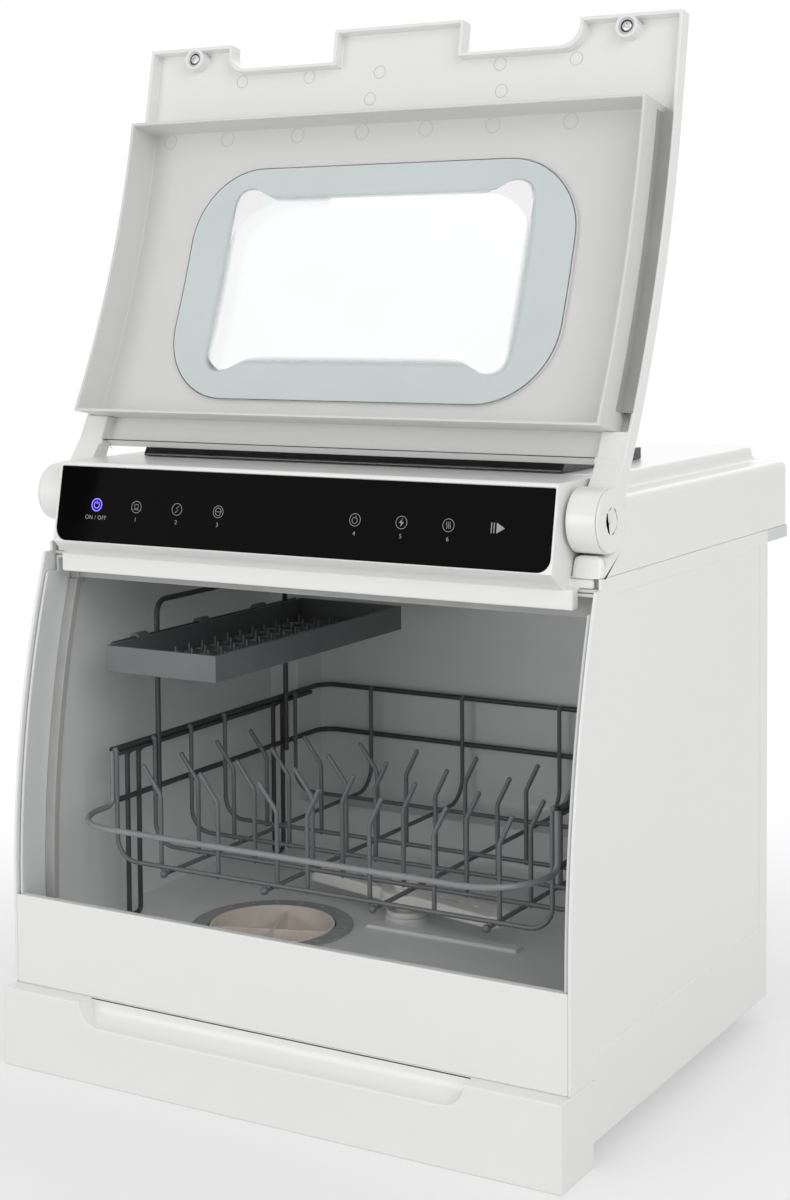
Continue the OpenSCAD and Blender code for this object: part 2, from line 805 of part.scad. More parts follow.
module spray_arm() {
  blade_w = 24;
  color("white") translate([0, arm_y, arm_z]) rotate(arm_rest_a) difference() {
    union() {
      linear_extrude(arm_t) arm_outline(arm_l, blade_w);
      cylinder(h = arm_t, r = 19);
      cylinder(h = arm_t + 1.5, r = 9);
    }
    translate([0, 0, 2]) linear_extrude(arm_t - 4) arm_outline(arm_l - 2, blade_w - 4);
    translate([0, 0, -1]) cylinder(h = arm_t + 5, r = 5 + fit);
    for (x = [-80, -64, -48, -32, 32, 48, 64, 80])
      translate([x, 0, arm_t - 3]) cylinder(h = 5, r = 1.3);
  }
}

module spray_arm_cap() {
  color("white") difference() {
    disc_z(0, arm_y, arm_z + arm_t + 1.9, arm_z + arm_t + 8, 11);
    disc_z(0, arm_y, arm_z, arm_z + arm_t + 3.05, 5.02);
  }
}

drain_x1 = filter_x - sump_r - 0.1;
drain_x0 = drain_x1 - 22;
drain_r = 20;
drain_motor_l = 36;

module drain_pump() {
  color("black") difference() {
    disc_x(drain_x0, drain_x1, filter_y, pump_z, drain_r);
    disc_x(drain_x0 + 2.5, drain_x1 - 2.5, filter_y, pump_z, drain_r - 3);
    disc_x(drain_x1 - 5, drain_x1 + 1, filter_y, pump_z, 7);
    disc_x(drain_x0 - 1, drain_x0 + 5, filter_y, pump_z, shaft_r + fit);
    disc_y(spigot_x, filter_y, filter_y + 40, pump_z, 6);
  }
}

module drain_impeller() {
  color("orange") {
    disc_x(drain_x0 + 4, drain_x0 + 6, filter_y, pump_z, 14);
    disc_x(drain_x0 + 4, drain_x1 - 6, filter_y, pump_z, 5);
    disc_x(drain_x0 - 5, drain_x0 + 5, filter_y, pump_z, shaft_r);
    for (a = [0 : 90 : 270]) translate([0, filter_y, pump_z]) rotate([a, 0, 0])
      box(drain_x0 + 5, drain_x1 - 7, -1, 1, 3, 13);
  }
}

module drain_motor() {
  color("silver") difference() {
    union() {
      disc_x(drain_x0 - drain_motor_l, drain_x0 - 0.05, filter_y, pump_z, 17);
      box(drain_x0 - drain_motor_l + 6, drain_x0 - 8, filter_y - 12, filter_y + 12, foot_h + pan_t, pump_z - 10);
    }
    disc_x(drain_x0 - 10, drain_x0 + 1, filter_y, pump_z, shaft_r + fit);
  }
}

hose_r = 8;
spigot_r = 9;

module drain_hose() {
  color("grey") difference() {
    disc_y(spigot_x, filter_y + drain_r - 3, body_d - panel_t - 6, pump_z, hose_r);
    disc_y(spigot_x, 0, 400, pump_z, 6);
    disc_x(drain_x0 - 5, drain_x1 + 5, filter_y, pump_z, drain_r + 0.05);
  }
}

module drain_spigot() {
  color("grey") difference() {
    union() {
      disc_y(spigot_x, body_d - panel_t - 6 + 0.02, body_d + 22, pump_z, spigot_r);
      disc_y(spigot_x, body_d + 0.02, body_d + 3, pump_z, 15);
    }
    disc_y(spigot_x, 0, 400, pump_z, 6);
  }
}

module inlet_valve() {
  color("white") difference() {
    union() {
      box(valve_x - 18, valve_x + 18, body_d - 42, body_d - panel_t - 0.02, port_z - 18,
        port_z + 17.4);
      disc_y(valve_x, body_d - 8, body_d + 16, port_z, inlet_thread_r);
      disc_z(valve_x, body_d - 30, port_z, port_z + 15, 9);
      disc_z(valve_x, body_d - 26, foot_h + pan_t + 0.02, port_z, 8);
    }
    disc_y(valve_x, body_d - 30, body_d + 20, port_z, 8);
    disc_z(valve_x, riser_y, port_z + 8, port_z + 18.5, 5.02);
  }
}

module fill_hose() {
  path = [[valve_x, riser_y, port_z + 10], [valve_x, riser_y, riser_z],
    [valve_x, hose_y, riser_z], [valve_x, hose_y, tank_z0 + 6]];
  color("lightgrey") difference() {
    bent_wire(path, 5, 9);
    bent_wire([path[0] - [0, 0, 1], path[1], path[2], path[3] + [0, 0, 1]], 3, 9);
  }
}

module feed_hose() {
  outer_r = 5.8;
  bore_r = 4;
  start_y = filter_y + sqrt(pow(sump_r, 2) - pow(feed_x - filter_x, 2)) - 2;
  path = [[feed_x, start_y, port_z], [feed_x, riser_y, port_z], [feed_x, riser_y, riser_z],
    [feed_x, hose_y, riser_z], [feed_x, hose_y, tank_z0 + 6]];
  color("lightgrey") difference() {
    bent_wire(path, outer_r, 10);
    bent_wire([path[0] - [0, 5, 0], path[1], path[2], path[3], path[4] + [0, 0, 1]], bore_r, 10);
    disc_z(filter_x, filter_y, 0, floor_z, sump_r - 2.9);
  }
}

// ---- drying fan and electrics ---------------------------------------------------------

fan_r = 33;
fan_z0 = seam_z - 3.5;
fan_z1 = fan_z0 + 32;

module fan_housing() {
  color("dimgrey") difference() {
    union() {
      disc_z(fan_x, fan_y, fan_z0, fan_z1, fan_r);
      disc_z(fan_x, fan_y, tub_top - tub_t, fan_z0 + 1, duct_r);
      for (a = [45 : 90 : 315])
        disc_z(fan_x + fan_r * cos(a), fan_y + fan_r * sin(a), under_z + wall, fan_z0 + 10, 4);
    }
    disc_z(fan_x, fan_y, fan_z0 + 3, fan_z1 - 3, fan_r - 2);
    disc_z(fan_x, fan_y, 300, fan_z0 + 5, duct_r - 2);
    disc_z(fan_x, fan_y, fan_z1 - 5, fan_z1 + 5, 15);
  }
  color("dimgrey") difference() {
    union() {
      disc_z(fan_x, fan_y, fan_z1 - 3, fan_z1, 6);
      for (a = [0, 90]) translate([fan_x, fan_y, fan_z1 - 2]) rotate(a)
        translate([-17, -1.5, 0]) cube([34, 3, 2]);
    }
    disc_z(fan_x, fan_y, fan_z0, fan_z1 + 5, 2 + fit);
  }
}

module fan_wheel() {
  blade_count = 16;
  color("black") {
    disc_z(fan_x, fan_y, fan_z0 + 6, fan_z1 - 1, 2);
    disc_z(fan_x, fan_y, fan_z0 + 6, fan_z0 + 8, 28);
    disc_z(fan_x, fan_y, fan_z0 + 6, fan_z1 - 8, 7);
    for (i = [0 : blade_count - 1]) translate([fan_x, fan_y, fan_z0 + 7])
      rotate(i * 360 / blade_count) translate([20, -0.8, 0]) cube([7, 1.6, 16]);
  }
}

board_x0 = 112;
board_x1 = 196;
board_y0 = 104;
board_y1 = 200;

module board_tray() {
  color("grey") difference() {
    box(board_x0, board_x1, board_y0, board_y1, under_z + wall + 0.02, under_z + wall + 16);
    box(board_x0 + 2, board_x1 - 2, board_y0 + 2, board_y1 - 2, under_z + wall + 2, 400);
  }
}

module power_board() {
  z0 = under_z + wall + 8;
  color("darkgreen") {
    box(board_x0 + 2.3, board_x1 - 2.3, board_y0 + 2.3, board_y1 - 2.3, z0, z0 + 1.6);
    for (x = [20, 62], y = [20, 76]) disc_z(board_x0 + x, board_y0 + y, z0 - 6, z0 + 1, 3);
    box(board_x0 + 10, board_x0 + 34, board_y0 + 30, board_y0 + 58, z0 + 1, z0 + 22);
    disc_z(board_x0 + 56, board_y0 + 36, z0 + 1, z0 + 22, 8);
    disc_z(board_x0 + 56, board_y0 + 60, z0 + 1, z0 + 18, 6);
  }
}

module power_inlet() {
  color([0.1, 0.1, 0.1]) difference() {
    union() {
      box(inlet_x - 20, inlet_x + 20, body_d + 0.02, body_d + 3, port_z - 14, port_z + 14);
      box(inlet_x - 13.8, inlet_x + 13.8, body_d - 24, body_d + 1, port_z - 10.8, port_z + 10.8);
    }
    box(inlet_x - 11, inlet_x + 11, body_d - 14, body_d + 5, port_z - 8, port_z + 8);
  }
  color("silver") for (x = [-6, 0, 6])
    box(inlet_x + x - 1, inlet_x + x + 1, body_d - 15, body_d - 2, port_z - 2, port_z + 2);
}

foot_x = half_w - 45;
foot_y = 285;

module rear_feet() {
  color("black") both_sides() {
    disc_z(foot_x, foot_y, 0, foot_h - 0.02, 12);
  }
}

module rear_screws() {
  color("silver") for (s = [-1, 1], z = screw_zs) {
    disc_y(s * screw_x, body_d + 0.02, body_d + 1.8, z, 4);
    disc_y(s * screw_x, body_d - 8, body_d + 0.5, z, 1.9);
  }
}

catch_x = half_w - 39;
catch_z = 63;

module catch_magnets() {
  color("dimgrey") both_sides() disc_y(catch_x, panel_t + 0.02, panel_t + 8, catch_z, 7);
}

// ---- rack -----------------------------------------------------------------------------

rim_z = 206;
mid_wire_z = 169.5;
loop_z = 167;
rack_z = 129;
rack_y0 = 62;
rack_y1 = 338;
loop_y = 8;
rail_r = 1.8;
rail_z = rim_z - wire_r - rail_r - 0.05;
rail_y0 = 70;
rail_y1 = 318;
leg_x = rack_half_w + wire_r + rail_r + 0.4;
leg_ys = [[84, 97], [270, 283]];

// Fixed wires at each side of the tub that carry the rack's rim, on legs from the floor.
module rack_rails() {
  w = rack_half_w;
  color([0.2, 0.2, 0.21]) both_sides() {
    wire([w, rail_y0, rail_z], [w, rail_y1, rail_z], rail_r);
    for (ys = leg_ys) {
      bent_wire([[leg_x, ys[0], rail_z - 2.8], [leg_x, ys[0], floor_z + rail_r],
        [leg_x, ys[1], floor_z + rail_r], [leg_x, ys[1], rail_z - 2.8]], rail_r, 5);
      for (y = ys) wire([leg_x + 0.9, y, rail_z - 3.6], [w, y, rail_z], rail_r - 0.3);
    }
  }
}

row_r = tine_r + 0.4;
seam = 0.03;
side_w = rack_half_w - wire_r - tine_r - seam;
back_y = rack_y1 - wire_r - tine_r - seam;
long_z = rack_z - 2 * tine_r - seam;
long_xs = [-125, -42, 42, 125];
cross_ys = [62, 106, 150, 193, 290];
tine_xs = [-133, -85, -37, -13, 35, 83, 130];
tine_rows = 4;
tine_split_x = -30;
lean_left = -14;
lean_right = 9;

// The rim, the wire half way down and the front loop.
module rack_frame() {
  w = rack_half_w;
  corner = 14;
  color([0.25, 0.25, 0.26]) {
    for (z = [rim_z, mid_wire_z]) {
      front = z == rim_z ? rack_y0 : rack_y0 + 4.5;
      bent_wire([[-w, front, z], [-w, rack_y1, z], [w, rack_y1, z], [w, front, z]],
        wire_r, corner);
    }
    bent_wire([[-w, rack_y0, rim_z], [-w, rack_y0, loop_z], [-w, loop_y, loop_z],
      [w, loop_y, loop_z], [w, rack_y0, loop_z], [w, rack_y0, rim_z]], wire_r,
      [0, 7, 40, 40, 7, 0]);
    both_sides() tip([w, rack_y0, rim_z], wire_r + 0.3);
  }
}

// The wires that run across and along under the dishes and up the walls.
module rack_bottom() {
  color([0.3, 0.3, 0.31]) {
    for (y = cross_ys) bent_wire([[-side_w, y, rim_z], [-side_w, y, rack_z],
      [side_w, y, rack_z], [side_w, y, rim_z]], tine_r, 16);
    for (x = long_xs) {
      bent_wire([[x, rack_y0 - 5, long_z], [x, back_y, long_z], [x, back_y, rim_z]], tine_r, 20);
      tip([x, rack_y0 - 5, long_z], 2.8);
    }
  }
}

// A tine, bent near its top, that stands behind a cross wire.
module tine(x, y, lean) {
  knee_z = rack_z + 49;
  rise = 18;
  knee = [x, y, knee_z];
  end = [x + lean, y, knee_z + rise];
  wire([x, y, long_z + tine_r + 0.05], knee, tine_r);
  wire(knee, end, tine_r);
  tip(knee, tine_r * 1.05, [13, 77, 31]);
  tip(end, tine_r + 0.2, [13, 77, 31]);
}

module rack_tines() {
  color([0.3, 0.3, 0.31]) for (i = [0 : tine_rows - 1], x = tine_xs)
    tine(x, cross_ys[i] + 2 * tine_r + 0.05, x < tine_split_x ? lean_left : lean_right);
}

tray_y0 = 45;
tray_z = 283;
tray_h = 18;
pivot_z = tray_z - 2;
post_ys = [110, 276];
frame_x = -rack_half_w + wire_r * 2 + 0.05;

module tray_frame() {
  top = 305;
  foot = mid_wire_z - 4;
  color([0.2, 0.2, 0.21]) {
    bent_wire([[frame_x, post_ys[0], foot], [frame_x, post_ys[0], top],
      [frame_x, post_ys[1], top], [frame_x, post_ys[1], foot]], wire_r, 10);
    wire([frame_x, 60, pivot_z], [frame_x, 290, pivot_z], wire_r);
    for (y = post_ys) tip([frame_x, y, foot], wire_r + 0.3);
  }
}

module cutlery_tray() {
  skin = 2;
  clip_r = wire_r + 0.1;
  edge = frame_x + 5;
  color([0.28, 0.28, 0.29]) {
    difference() {
      box(edge, edge + tray_w, tray_y0, tray_y0 + tray_d, tray_z - tray_h, tray_z);
      box(edge + skin, edge + tray_w - skin, tray_y0 + skin, tray_y0 + tray_d - skin,
        tray_z - tray_h + skin, tray_z + 1);
      for (i = [0 : 5], j = [0 : 13])
        disc_z(edge + 11 + i * 14, tray_y0 + 16 + j * 16, tray_z - 30, tray_z, 4);
    }
    for (y = [90, 165, 240]) difference() {
      union() {
        disc_y(frame_x, y - 6, y + 6, pivot_z, 4.4);
        box(frame_x, edge + 2, y - 6, y + 6, pivot_z - 4.4, pivot_z + 1.4);
      }
      disc_y(frame_x, y - 8, y + 8, pivot_z, clip_r);
      box(frame_x - 6, frame_x, y - 8, y + 8, pivot_z - 6, pivot_z - 0.8);
    }
  }
}

// ---- door, modelled shut and then swung open ------------------------------------------

module opened() {
  translate([0, hinge_y, hinge_z]) rotate([-door_swing, 0, 0])
    translate([0, -hinge_y, -hinge_z]) children();
}

skin_off = -plinth_step;
rim_off = skin_off + door_t;
floor_off = skin_off + door_wall;
door_lo = plinth_h + 0.8;
door_hi = 352;
edge_clear = sweep_r + 1;
notch_half_w = 138;
notch_hi = 73;
notch_r = 14;
tab_half_w = 51;
tab_lo = 50;
barrel_x = half_w - barrel_l;

// The door's outline seen from the front, in (x, z), with the notch and the handle tab.
module door_outline(inset) {
  w = half_w - inset;
  difference() {
    translate([-w, door_lo + inset]) square([2 * w, door_hi - door_lo - inset + 10]);
    translate([-notch_half_w - inset, 0]) square([2 * (notch_half_w + inset), notch_hi - notch_r + inset]);
    translate([-notch_half_w - inset + notch_r, 0])
      square([2 * (notch_half_w + inset - notch_r), notch_hi + inset]);
    for (s = [-1, 1]) translate([s * (notch_half_w + inset - notch_r), notch_hi - notch_r + inset])
      circle(notch_r);
  }
  translate([-tab_half_w + inset, tab_lo + inset])
    square([2 * (tab_half_w - inset), notch_hi - tab_lo + 3]);
}

module arm_profile() {
  polygon([[front_y(330) + rim_off, 330], [front_y(346) + rim_off, 346.5],
    [hinge_y - barrel_r * sin(20), hinge_z - barrel_r * cos(20)], [hinge_y, hinge_z],
    [hinge_y - barrel_r * sin(80), hinge_z - barrel_r * cos(80)],
    [front_y(351) + skin_off, 351], [front_y(330) + skin_off, 330]]);
  translate([hinge_y, hinge_z]) circle(barrel_r);
}

module window_outline(inset) {
  round_rect(-window_half_w + inset, window_half_w - inset, window_lo + inset,
    window_hi - inset, window_r - inset * 0.6);
}

see_through_in = 16;
pane_lap = 5;

module door_shell() {
  spring_room_r = 12;
  color("white") opened() difference() {
    union() {
      difference() {
        intersection() {
          along_x(-half_w, half_w) front_layer(skin_off, rim_off, tab_lo - 1, door_hi);
          along_y(-60, 100) door_outline(0);
        }
        intersection() {
          along_x(-half_w, half_w) front_layer(floor_off, rim_off + 5, 0, 347);
          along_y(-60, 100) door_outline(door_wall);
        }
        along_x(-barrel_x - 0.3, barrel_x + 0.3)
          translate([hinge_y, hinge_z]) circle(edge_clear, $fn = 128);
        along_y(-60, 100) window_outline(see_through_in);
        both_sides() box(barrel_x, half_w + 1, 0, 100, 351, 400);
      }
      along_x(barrel_x + 1.5, half_w) arm_profile();
      along_x(-half_w, -barrel_x - 1.5) arm_profile();
      both_sides() disc_x(barrel_x, half_w, hinge_y, hinge_z, barrel_r);
      both_sides() disc_y(catch_x, floor_off - 1, rim_off - 0.2, catch_z, 8);
    }
    both_sides() {
      disc_x(barrel_x - 1, half_w - 8, hinge_y, hinge_z, spring_room_r);
      disc_x(barrel_x, half_w - 3, hinge_y, hinge_z, pin_r + fit);
      disc_y(catch_x, floor_off + 2, rim_off + 1, catch_z, 2.5);
      disc_y(catch_x, rim_off - 2.4, rim_off + 1, catch_z, 5.5);
    }
  }
}

module door_liner() {
  wall_t = 2.2;
  w = liner_half_w;
  color("gainsboro") opened() difference() {
    intersection() {
      along_x(-w, w) front_layer(floor_off + 0.02, liner_rise, liner_lo, liner_hi);
      along_y(-60, 120) translate([-w, liner_lo]) square([2 * w, liner_hi - liner_lo]);
    }
    along_x(-w + wall_t, w - wall_t)
      front_layer(rim_off - 0.5, liner_rise + 20, liner_lo + wall_t, liner_hi - wall_t);
    along_x(-w + wall_t, w - wall_t)
      front_layer(floor_off - 5, rim_off - 2.5, liner_lo + wall_t, liner_hi - wall_t);
    intersection() {
      along_x(-w, w) front_layer(-30, 40, window_lo - 10, window_hi + 10);
      along_y(-60, 120) window_outline(6);
    }
  }
}

module door_window() {
  color([0.8, 0.86, 0.85, 0.5]) opened() intersection() {
    along_x(-half_w, half_w) front_layer(rim_off - 0.45, rim_off + 2.5, window_lo - 10, window_hi + 10);
    along_y(-60, 120) window_outline(0);
  }
}

module outer_pane() {
  color([0.85, 0.9, 0.9, 0.4]) opened() intersection() {
    along_x(-half_w, half_w) front_layer(floor_off + 0.02, floor_off + 2.5, window_lo - 10, window_hi + 10);
    along_y(-60, 120) window_outline(see_through_in - pane_lap);
  }
}

module door_catch_screws() {
  color("silver") opened() both_sides() {
    disc_y(catch_x, rim_off - 2.38, rim_off - 0.5, catch_z, 5);
    disc_y(catch_x, floor_off + 2.2, rim_off - 2.3, catch_z, 2.3);
  }
}

module barrel_caps() {
  cap_t = 2.2;
  color("white") opened() both_sides() difference() {
    disc_x(half_w + 0.02, half_w + cap_t, hinge_y, hinge_z, barrel_r - 0.6);
    translate([half_w + cap_t + 10, hinge_y, hinge_z]) sphere(12.4);
  }
}

module hinge_pins() {
  color("silver") both_sides()
    disc_x(housing_half_w - 12, half_w - 3.6, hinge_y, hinge_z, pin_r);
}

module hinge_springs() {
  coil_wire_r = 1.1;
  coil_r = pin_r + coil_wire_r + 0.4;
  color("silver") both_sides() for (i = [0 : 3])
    translate([barrel_x + 3 + i * 1.9 * coil_wire_r, hinge_y, hinge_z]) rotate([0, 90, 0])
      rotate_extrude() translate([coil_r, 0]) circle(coil_wire_r, $fn = 24);
}

// ---- drawing --------------------------------------------------------------------------

place() base_plinth();
place() lower_front_panel();
place() side_panel_left();
place() side_panel_right();
place() rear_panel();
place() top_frame();
place() top_cover();
place() control_housing();
place() control_glass();
place() control_board();
place() touch_springs();
place() fill_lid();
place() fill_funnel();
place() tub();
place() tub_gasket();
place() filter_plate();
place() filter_basket();
place() sump();
place() wash_pump_housing();
place() wash_impeller();
place() wash_motor();
place() motor_cradle();
place() flow_heater();
place() pump_sleeve();
place() spray_post();
place() spray_arm();
place() spray_arm_cap();
place() drain_pump();
place() drain_impeller();
place() drain_motor();
place() drain_hose();
place() drain_spigot();
place() inlet_valve();
place() fill_hose();
place() feed_hose();
place() water_tank();
place() level_stem();
place() level_float();
place() fan_housing();
place() fan_wheel();
place() power_board();
place() board_tray();
place() power_inlet();
place() rear_feet();
place() rear_screws();
place() catch_magnets();
place() rack_rails();
place() rack_frame();
place() rack_bottom();
place() rack_tines();
place() tray_frame();
place() cutlery_tray();
place() door_shell();
place() door_liner();
place() door_window();
place() outer_pane();
place() door_catch_screws();
place() barrel_caps();
place() hinge_pins();
place() hinge_springs();
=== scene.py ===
"""Countertop dishwasher with its door swung up and over the top.

Each sub-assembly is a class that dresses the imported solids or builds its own
meshes, in metres, in the row frame, and says which body every piece rides on.
"""

import json
import logging
import math
from collections.abc import Callable, Sequence
from dataclasses import dataclass, field
from enum import Enum
from functools import cache

import bmesh
import bpy
from bmesh.types import BMEdge, BMesh, BMVert
from bpy.types import ID, Material, Mesh, Node, NodeSocket, NodeTree, Object
from mathutils import Matrix, Vector


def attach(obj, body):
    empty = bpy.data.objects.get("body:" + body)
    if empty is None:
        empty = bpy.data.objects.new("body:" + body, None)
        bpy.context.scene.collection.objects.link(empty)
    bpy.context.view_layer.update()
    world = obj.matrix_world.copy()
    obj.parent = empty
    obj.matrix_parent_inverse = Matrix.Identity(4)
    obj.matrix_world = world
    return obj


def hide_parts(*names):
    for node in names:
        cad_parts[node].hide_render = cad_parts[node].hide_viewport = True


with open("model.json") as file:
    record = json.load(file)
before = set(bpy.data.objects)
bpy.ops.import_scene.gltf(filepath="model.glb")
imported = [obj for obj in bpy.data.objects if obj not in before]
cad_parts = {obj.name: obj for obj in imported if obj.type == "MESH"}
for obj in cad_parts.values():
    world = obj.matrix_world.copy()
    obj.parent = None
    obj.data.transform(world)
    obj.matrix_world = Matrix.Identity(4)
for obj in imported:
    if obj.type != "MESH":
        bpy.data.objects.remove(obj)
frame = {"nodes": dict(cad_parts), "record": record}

LOG = logging.getLogger("dishwasher")
MM = 0.001
MID_Y = 178.0  # the front panel stands this far ahead of the part's middle
HINGE_Y, HINGE_Z = 54.0, 386.5
DOOR_SWING = math.radians(-190.7)
FACE_RADIUS, SILL = 740.0, 115.0
GLASS_Y, GLASS_Z, GLASS_TILT = 21.5, 357.5, math.radians(10.9)
SHARP_ANGLE = 28.0  # edges sharper than this many degrees get a radius
FLAT_ANGLE = 0.4  # CAD triangles closer than this many degrees are one face
WELD = 2e-6  # CAD corners closer than this many metres are one corner
OWN_ROOM, SHARED_ROOM = 0.9, 0.45  # share of a face that one edge's radius may take
ARM_START = 0.82  # cosine at which the arm of a screw's cross begins
EDGE_FACING = 0.6  # faces turned away further than this cosine are a pane's edge
RING_STEPS = 32  # points round a screw
TURNED_CREASE, SCREW_CREASE = 40, 38  # shading is smooth below this many degrees

UP, BACK = Vector((0, 0, 1)), Vector((0, 1, 0))

Place = Callable[[float, float, float], Vector]
Outline = list[tuple[float, float]]


# ---- where things are ------------------------------------------------------


def at(x: float, y: float, z: float) -> Vector:
    """Point in the row frame from millimetres behind the front panel."""
    return Vector((x * MM, (y - MID_Y) * MM, z * MM))


def front_y(z: float) -> float:
    """Depth of the cabinet's curved front edge at a height, in mm."""
    return 0.0 if z <= SILL else FACE_RADIUS - math.sqrt(FACE_RADIUS**2 - (z - SILL) ** 2)


def on_door(x: float, z: float, off: float) -> Vector:
    """Point on the open door.

    Args:
        x: Sideways place in mm.
        z: Height in mm on the shut door.
        off: Distance behind the line of the cabinet's front edge in mm.

    Returns:
        The point in the row frame, with the door swung open.
    """
    y, up = front_y(z) + off - HINGE_Y, z - HINGE_Z
    c, s = math.cos(DOOR_SWING), math.sin(DOOR_SWING)
    return at(x, HINGE_Y + y * c - up * s, HINGE_Z + y * s + up * c)


def on_slope(u: float, v: float, lift: float) -> Vector:
    """Point on the sloped control face, lift mm proud of the glass."""
    c, s = math.cos(GLASS_TILT), math.sin(GLASS_TILT)
    return at(u, GLASS_Y - lift * c + v * s, GLASS_Z + lift * s + v * c)


def outward(place: Place, u: float, v: float) -> Vector:
    """Unit normal of a surface, on the side that a lift points to.

    Args:
        place: The surface, as a function of two places and a lift in mm.
        u: First place on it.
        v: Second place on it.

    Returns:
        The normal.
    """
    across = place(u + 0.5, v, 0) - place(u - 0.5, v, 0)
    along = place(u, v + 0.5, 0) - place(u, v - 0.5, 0)
    normal = across.cross(along).normalized()
    return normal if normal.dot(place(u, v, 1) - place(u, v, 0)) > 0 else -normal


# ---- finishes --------------------------------------------------------------


class Slot(Enum):
    """The record's material slots."""

    SHELL = "white_shell"
    REAR = "rear_plastic"
    GLASS = "black_glass"
    STEEL = "bare_steel"
    SMOKED = "smoked_plastic"
    INNER = "inner_plastic"
    TUB = "tub_plastic"
    SEAL = "seal_rubber"
    FILTER = "filter_beige"
    GREY = "grey_plastic"
    BLACK = "black_plastic"
    PUMP = "pump_orange"
    MOTOR = "motor_steel"
    WIRE = "coated_wire"
    TRAY = "tray_plastic"
    WINDOW = "window_clear"


class Grain(Enum):
    """How a surface was made, which sets its fine relief."""

    POLISHED = "soft peel of a polished mould"
    ETCHED = "fine pits of a spark-eroded mould"
    BRUSHED = "long scratches of a brush or a lathe"
    DIPPED = "coating that flowed and set"


def linear(code: str) -> tuple[float, float, float, float]:
    """Turns a colour to linear.

    Args:
        code: An sRGB hex code such as #f4f4f2.

    Returns:
        Linear RGBA.
    """
    parts = [int(code[i : i + 2], 16) / 255 for i in (1, 3, 5)]
    r, g, b = (p / 12.92 if p <= 0.04045 else ((p + 0.055) / 1.055) ** 2.4 for p in parts)
    return r, g, b, 1.0


def add_node(
    tree: NodeTree,
    kind: str,
    links: dict | None = None,
    values: dict | None = None,
    **settings: object,
) -> Node:
    """Adds one node to a tree.

    Args:
        tree: The shader or geometry tree.
        kind: The node's type name.
        links: Input name or index to the output socket that feeds it.
        values: Input name or index to its constant.
        settings: Properties of the node itself.

    Returns:
        The node.
    """
    made = tree.nodes.new(kind)
    for name, value in settings.items():
        setattr(made, name, value)
    for key, value in (values or {}).items():
        made.inputs[key].default_value = value
    for key, source in (links or {}).items():
        tree.links.new(source, made.inputs[key])
    return made


def new_material(name: str) -> tuple[Material, NodeTree, NodeSocket]:
    """Starts a material.

    Args:
        name: The material's name.

    Returns:
        The material, its empty tree and its Object coordinates.
    """
    made = bpy.data.materials.new(name)
    made.use_nodes = True
    tree = made.node_tree
    tree.nodes.clear()
    return made, tree, add_node(tree, "ShaderNodeTexCoord").outputs["Object"]


@dataclass(frozen=True)
class Finish:
    """A material: its colours, gloss and fine relief, with real sizes in mm."""

    name: str
    slot: Slot
    colour: str
    shade: str
    roughness: float
    grain: Grain = Grain.ETCHED
    grain_mm: float = 0.7
    relief_mm: float = 0.006
    drift_mm: float = 70.0
    spread: float = 0.05
    ior: float = 1.5
    metallic: float = 0.0
    specular: float = 0.5
    coat: float = 0.0
    coat_roughness: float = 0.05
    transmission: float = 0.0
    glow: float = 0.0
    fading: bool = False

    def material(self) -> Material:
        """The Blender material, made once."""
        return build_material(self)


@cache
def build_material(finish: Finish) -> Material:
    """Builds the node tree of a finish.

    Args:
        finish: What the material is.

    Returns:
        A material whose patterns read Object coordinates.
    """
    made, tree, where = new_material(finish.name)
    drift = add_node(tree, "ShaderNodeTexNoise", {"Vector": where},
                     {"Scale": 1 / (finish.drift_mm * MM), "Detail": 3.0, "Roughness": 0.55})
    share = add_node(tree, "ShaderNodeMapRange", {"Value": drift.outputs["Fac"]},
                     {"From Min": 0.2, "From Max": 0.8})
    tint = add_node(tree, "ShaderNodeMix", {0: share.outputs["Result"]},
                    {6: linear(finish.colour), 7: linear(finish.shade)}, data_type="RGBA")
    smear = add_node(tree, "ShaderNodeTexNoise", {"Vector": where},
                     {"Scale": 2.3 / (finish.drift_mm * MM), "Detail": 1.0})
    low, high = finish.roughness - finish.spread, finish.roughness + finish.spread
    gloss = add_node(tree, "ShaderNodeMapRange", {"Value": smear.outputs["Fac"]},
                     {"From Min": 0.2, "From Max": 0.8, "To Min": max(0.0, low), "To Max": high})
    bump = add_node(tree, "ShaderNodeBump", {"Height": grain_height(tree, where, finish)},
                    {"Strength": 1.0, "Distance": finish.relief_mm * MM})
    shader = add_node(
        tree, "ShaderNodeBsdfPrincipled",
        {"Base Color": tint.outputs[2], "Roughness": gloss.outputs["Result"],
         "Normal": bump.outputs["Normal"]},
        {"Metallic": finish.metallic, "IOR": finish.ior,
         "Specular IOR Level": finish.specular, "Coat Weight": finish.coat,
         "Coat Roughness": finish.coat_roughness,
         "Transmission Weight": finish.transmission, "Emission Strength": finish.glow},
    )
    if finish.glow:
        tree.links.new(tint.outputs[2], shader.inputs["Emission Color"])
    if finish.fading:
        cover = add_node(tree, "ShaderNodeAttribute", attribute_name="cover")
        tree.links.new(cover.outputs["Fac"], shader.inputs["Alpha"])
    add_node(tree, "ShaderNodeOutputMaterial", {"Surface": shader.outputs["BSDF"]})
    return made


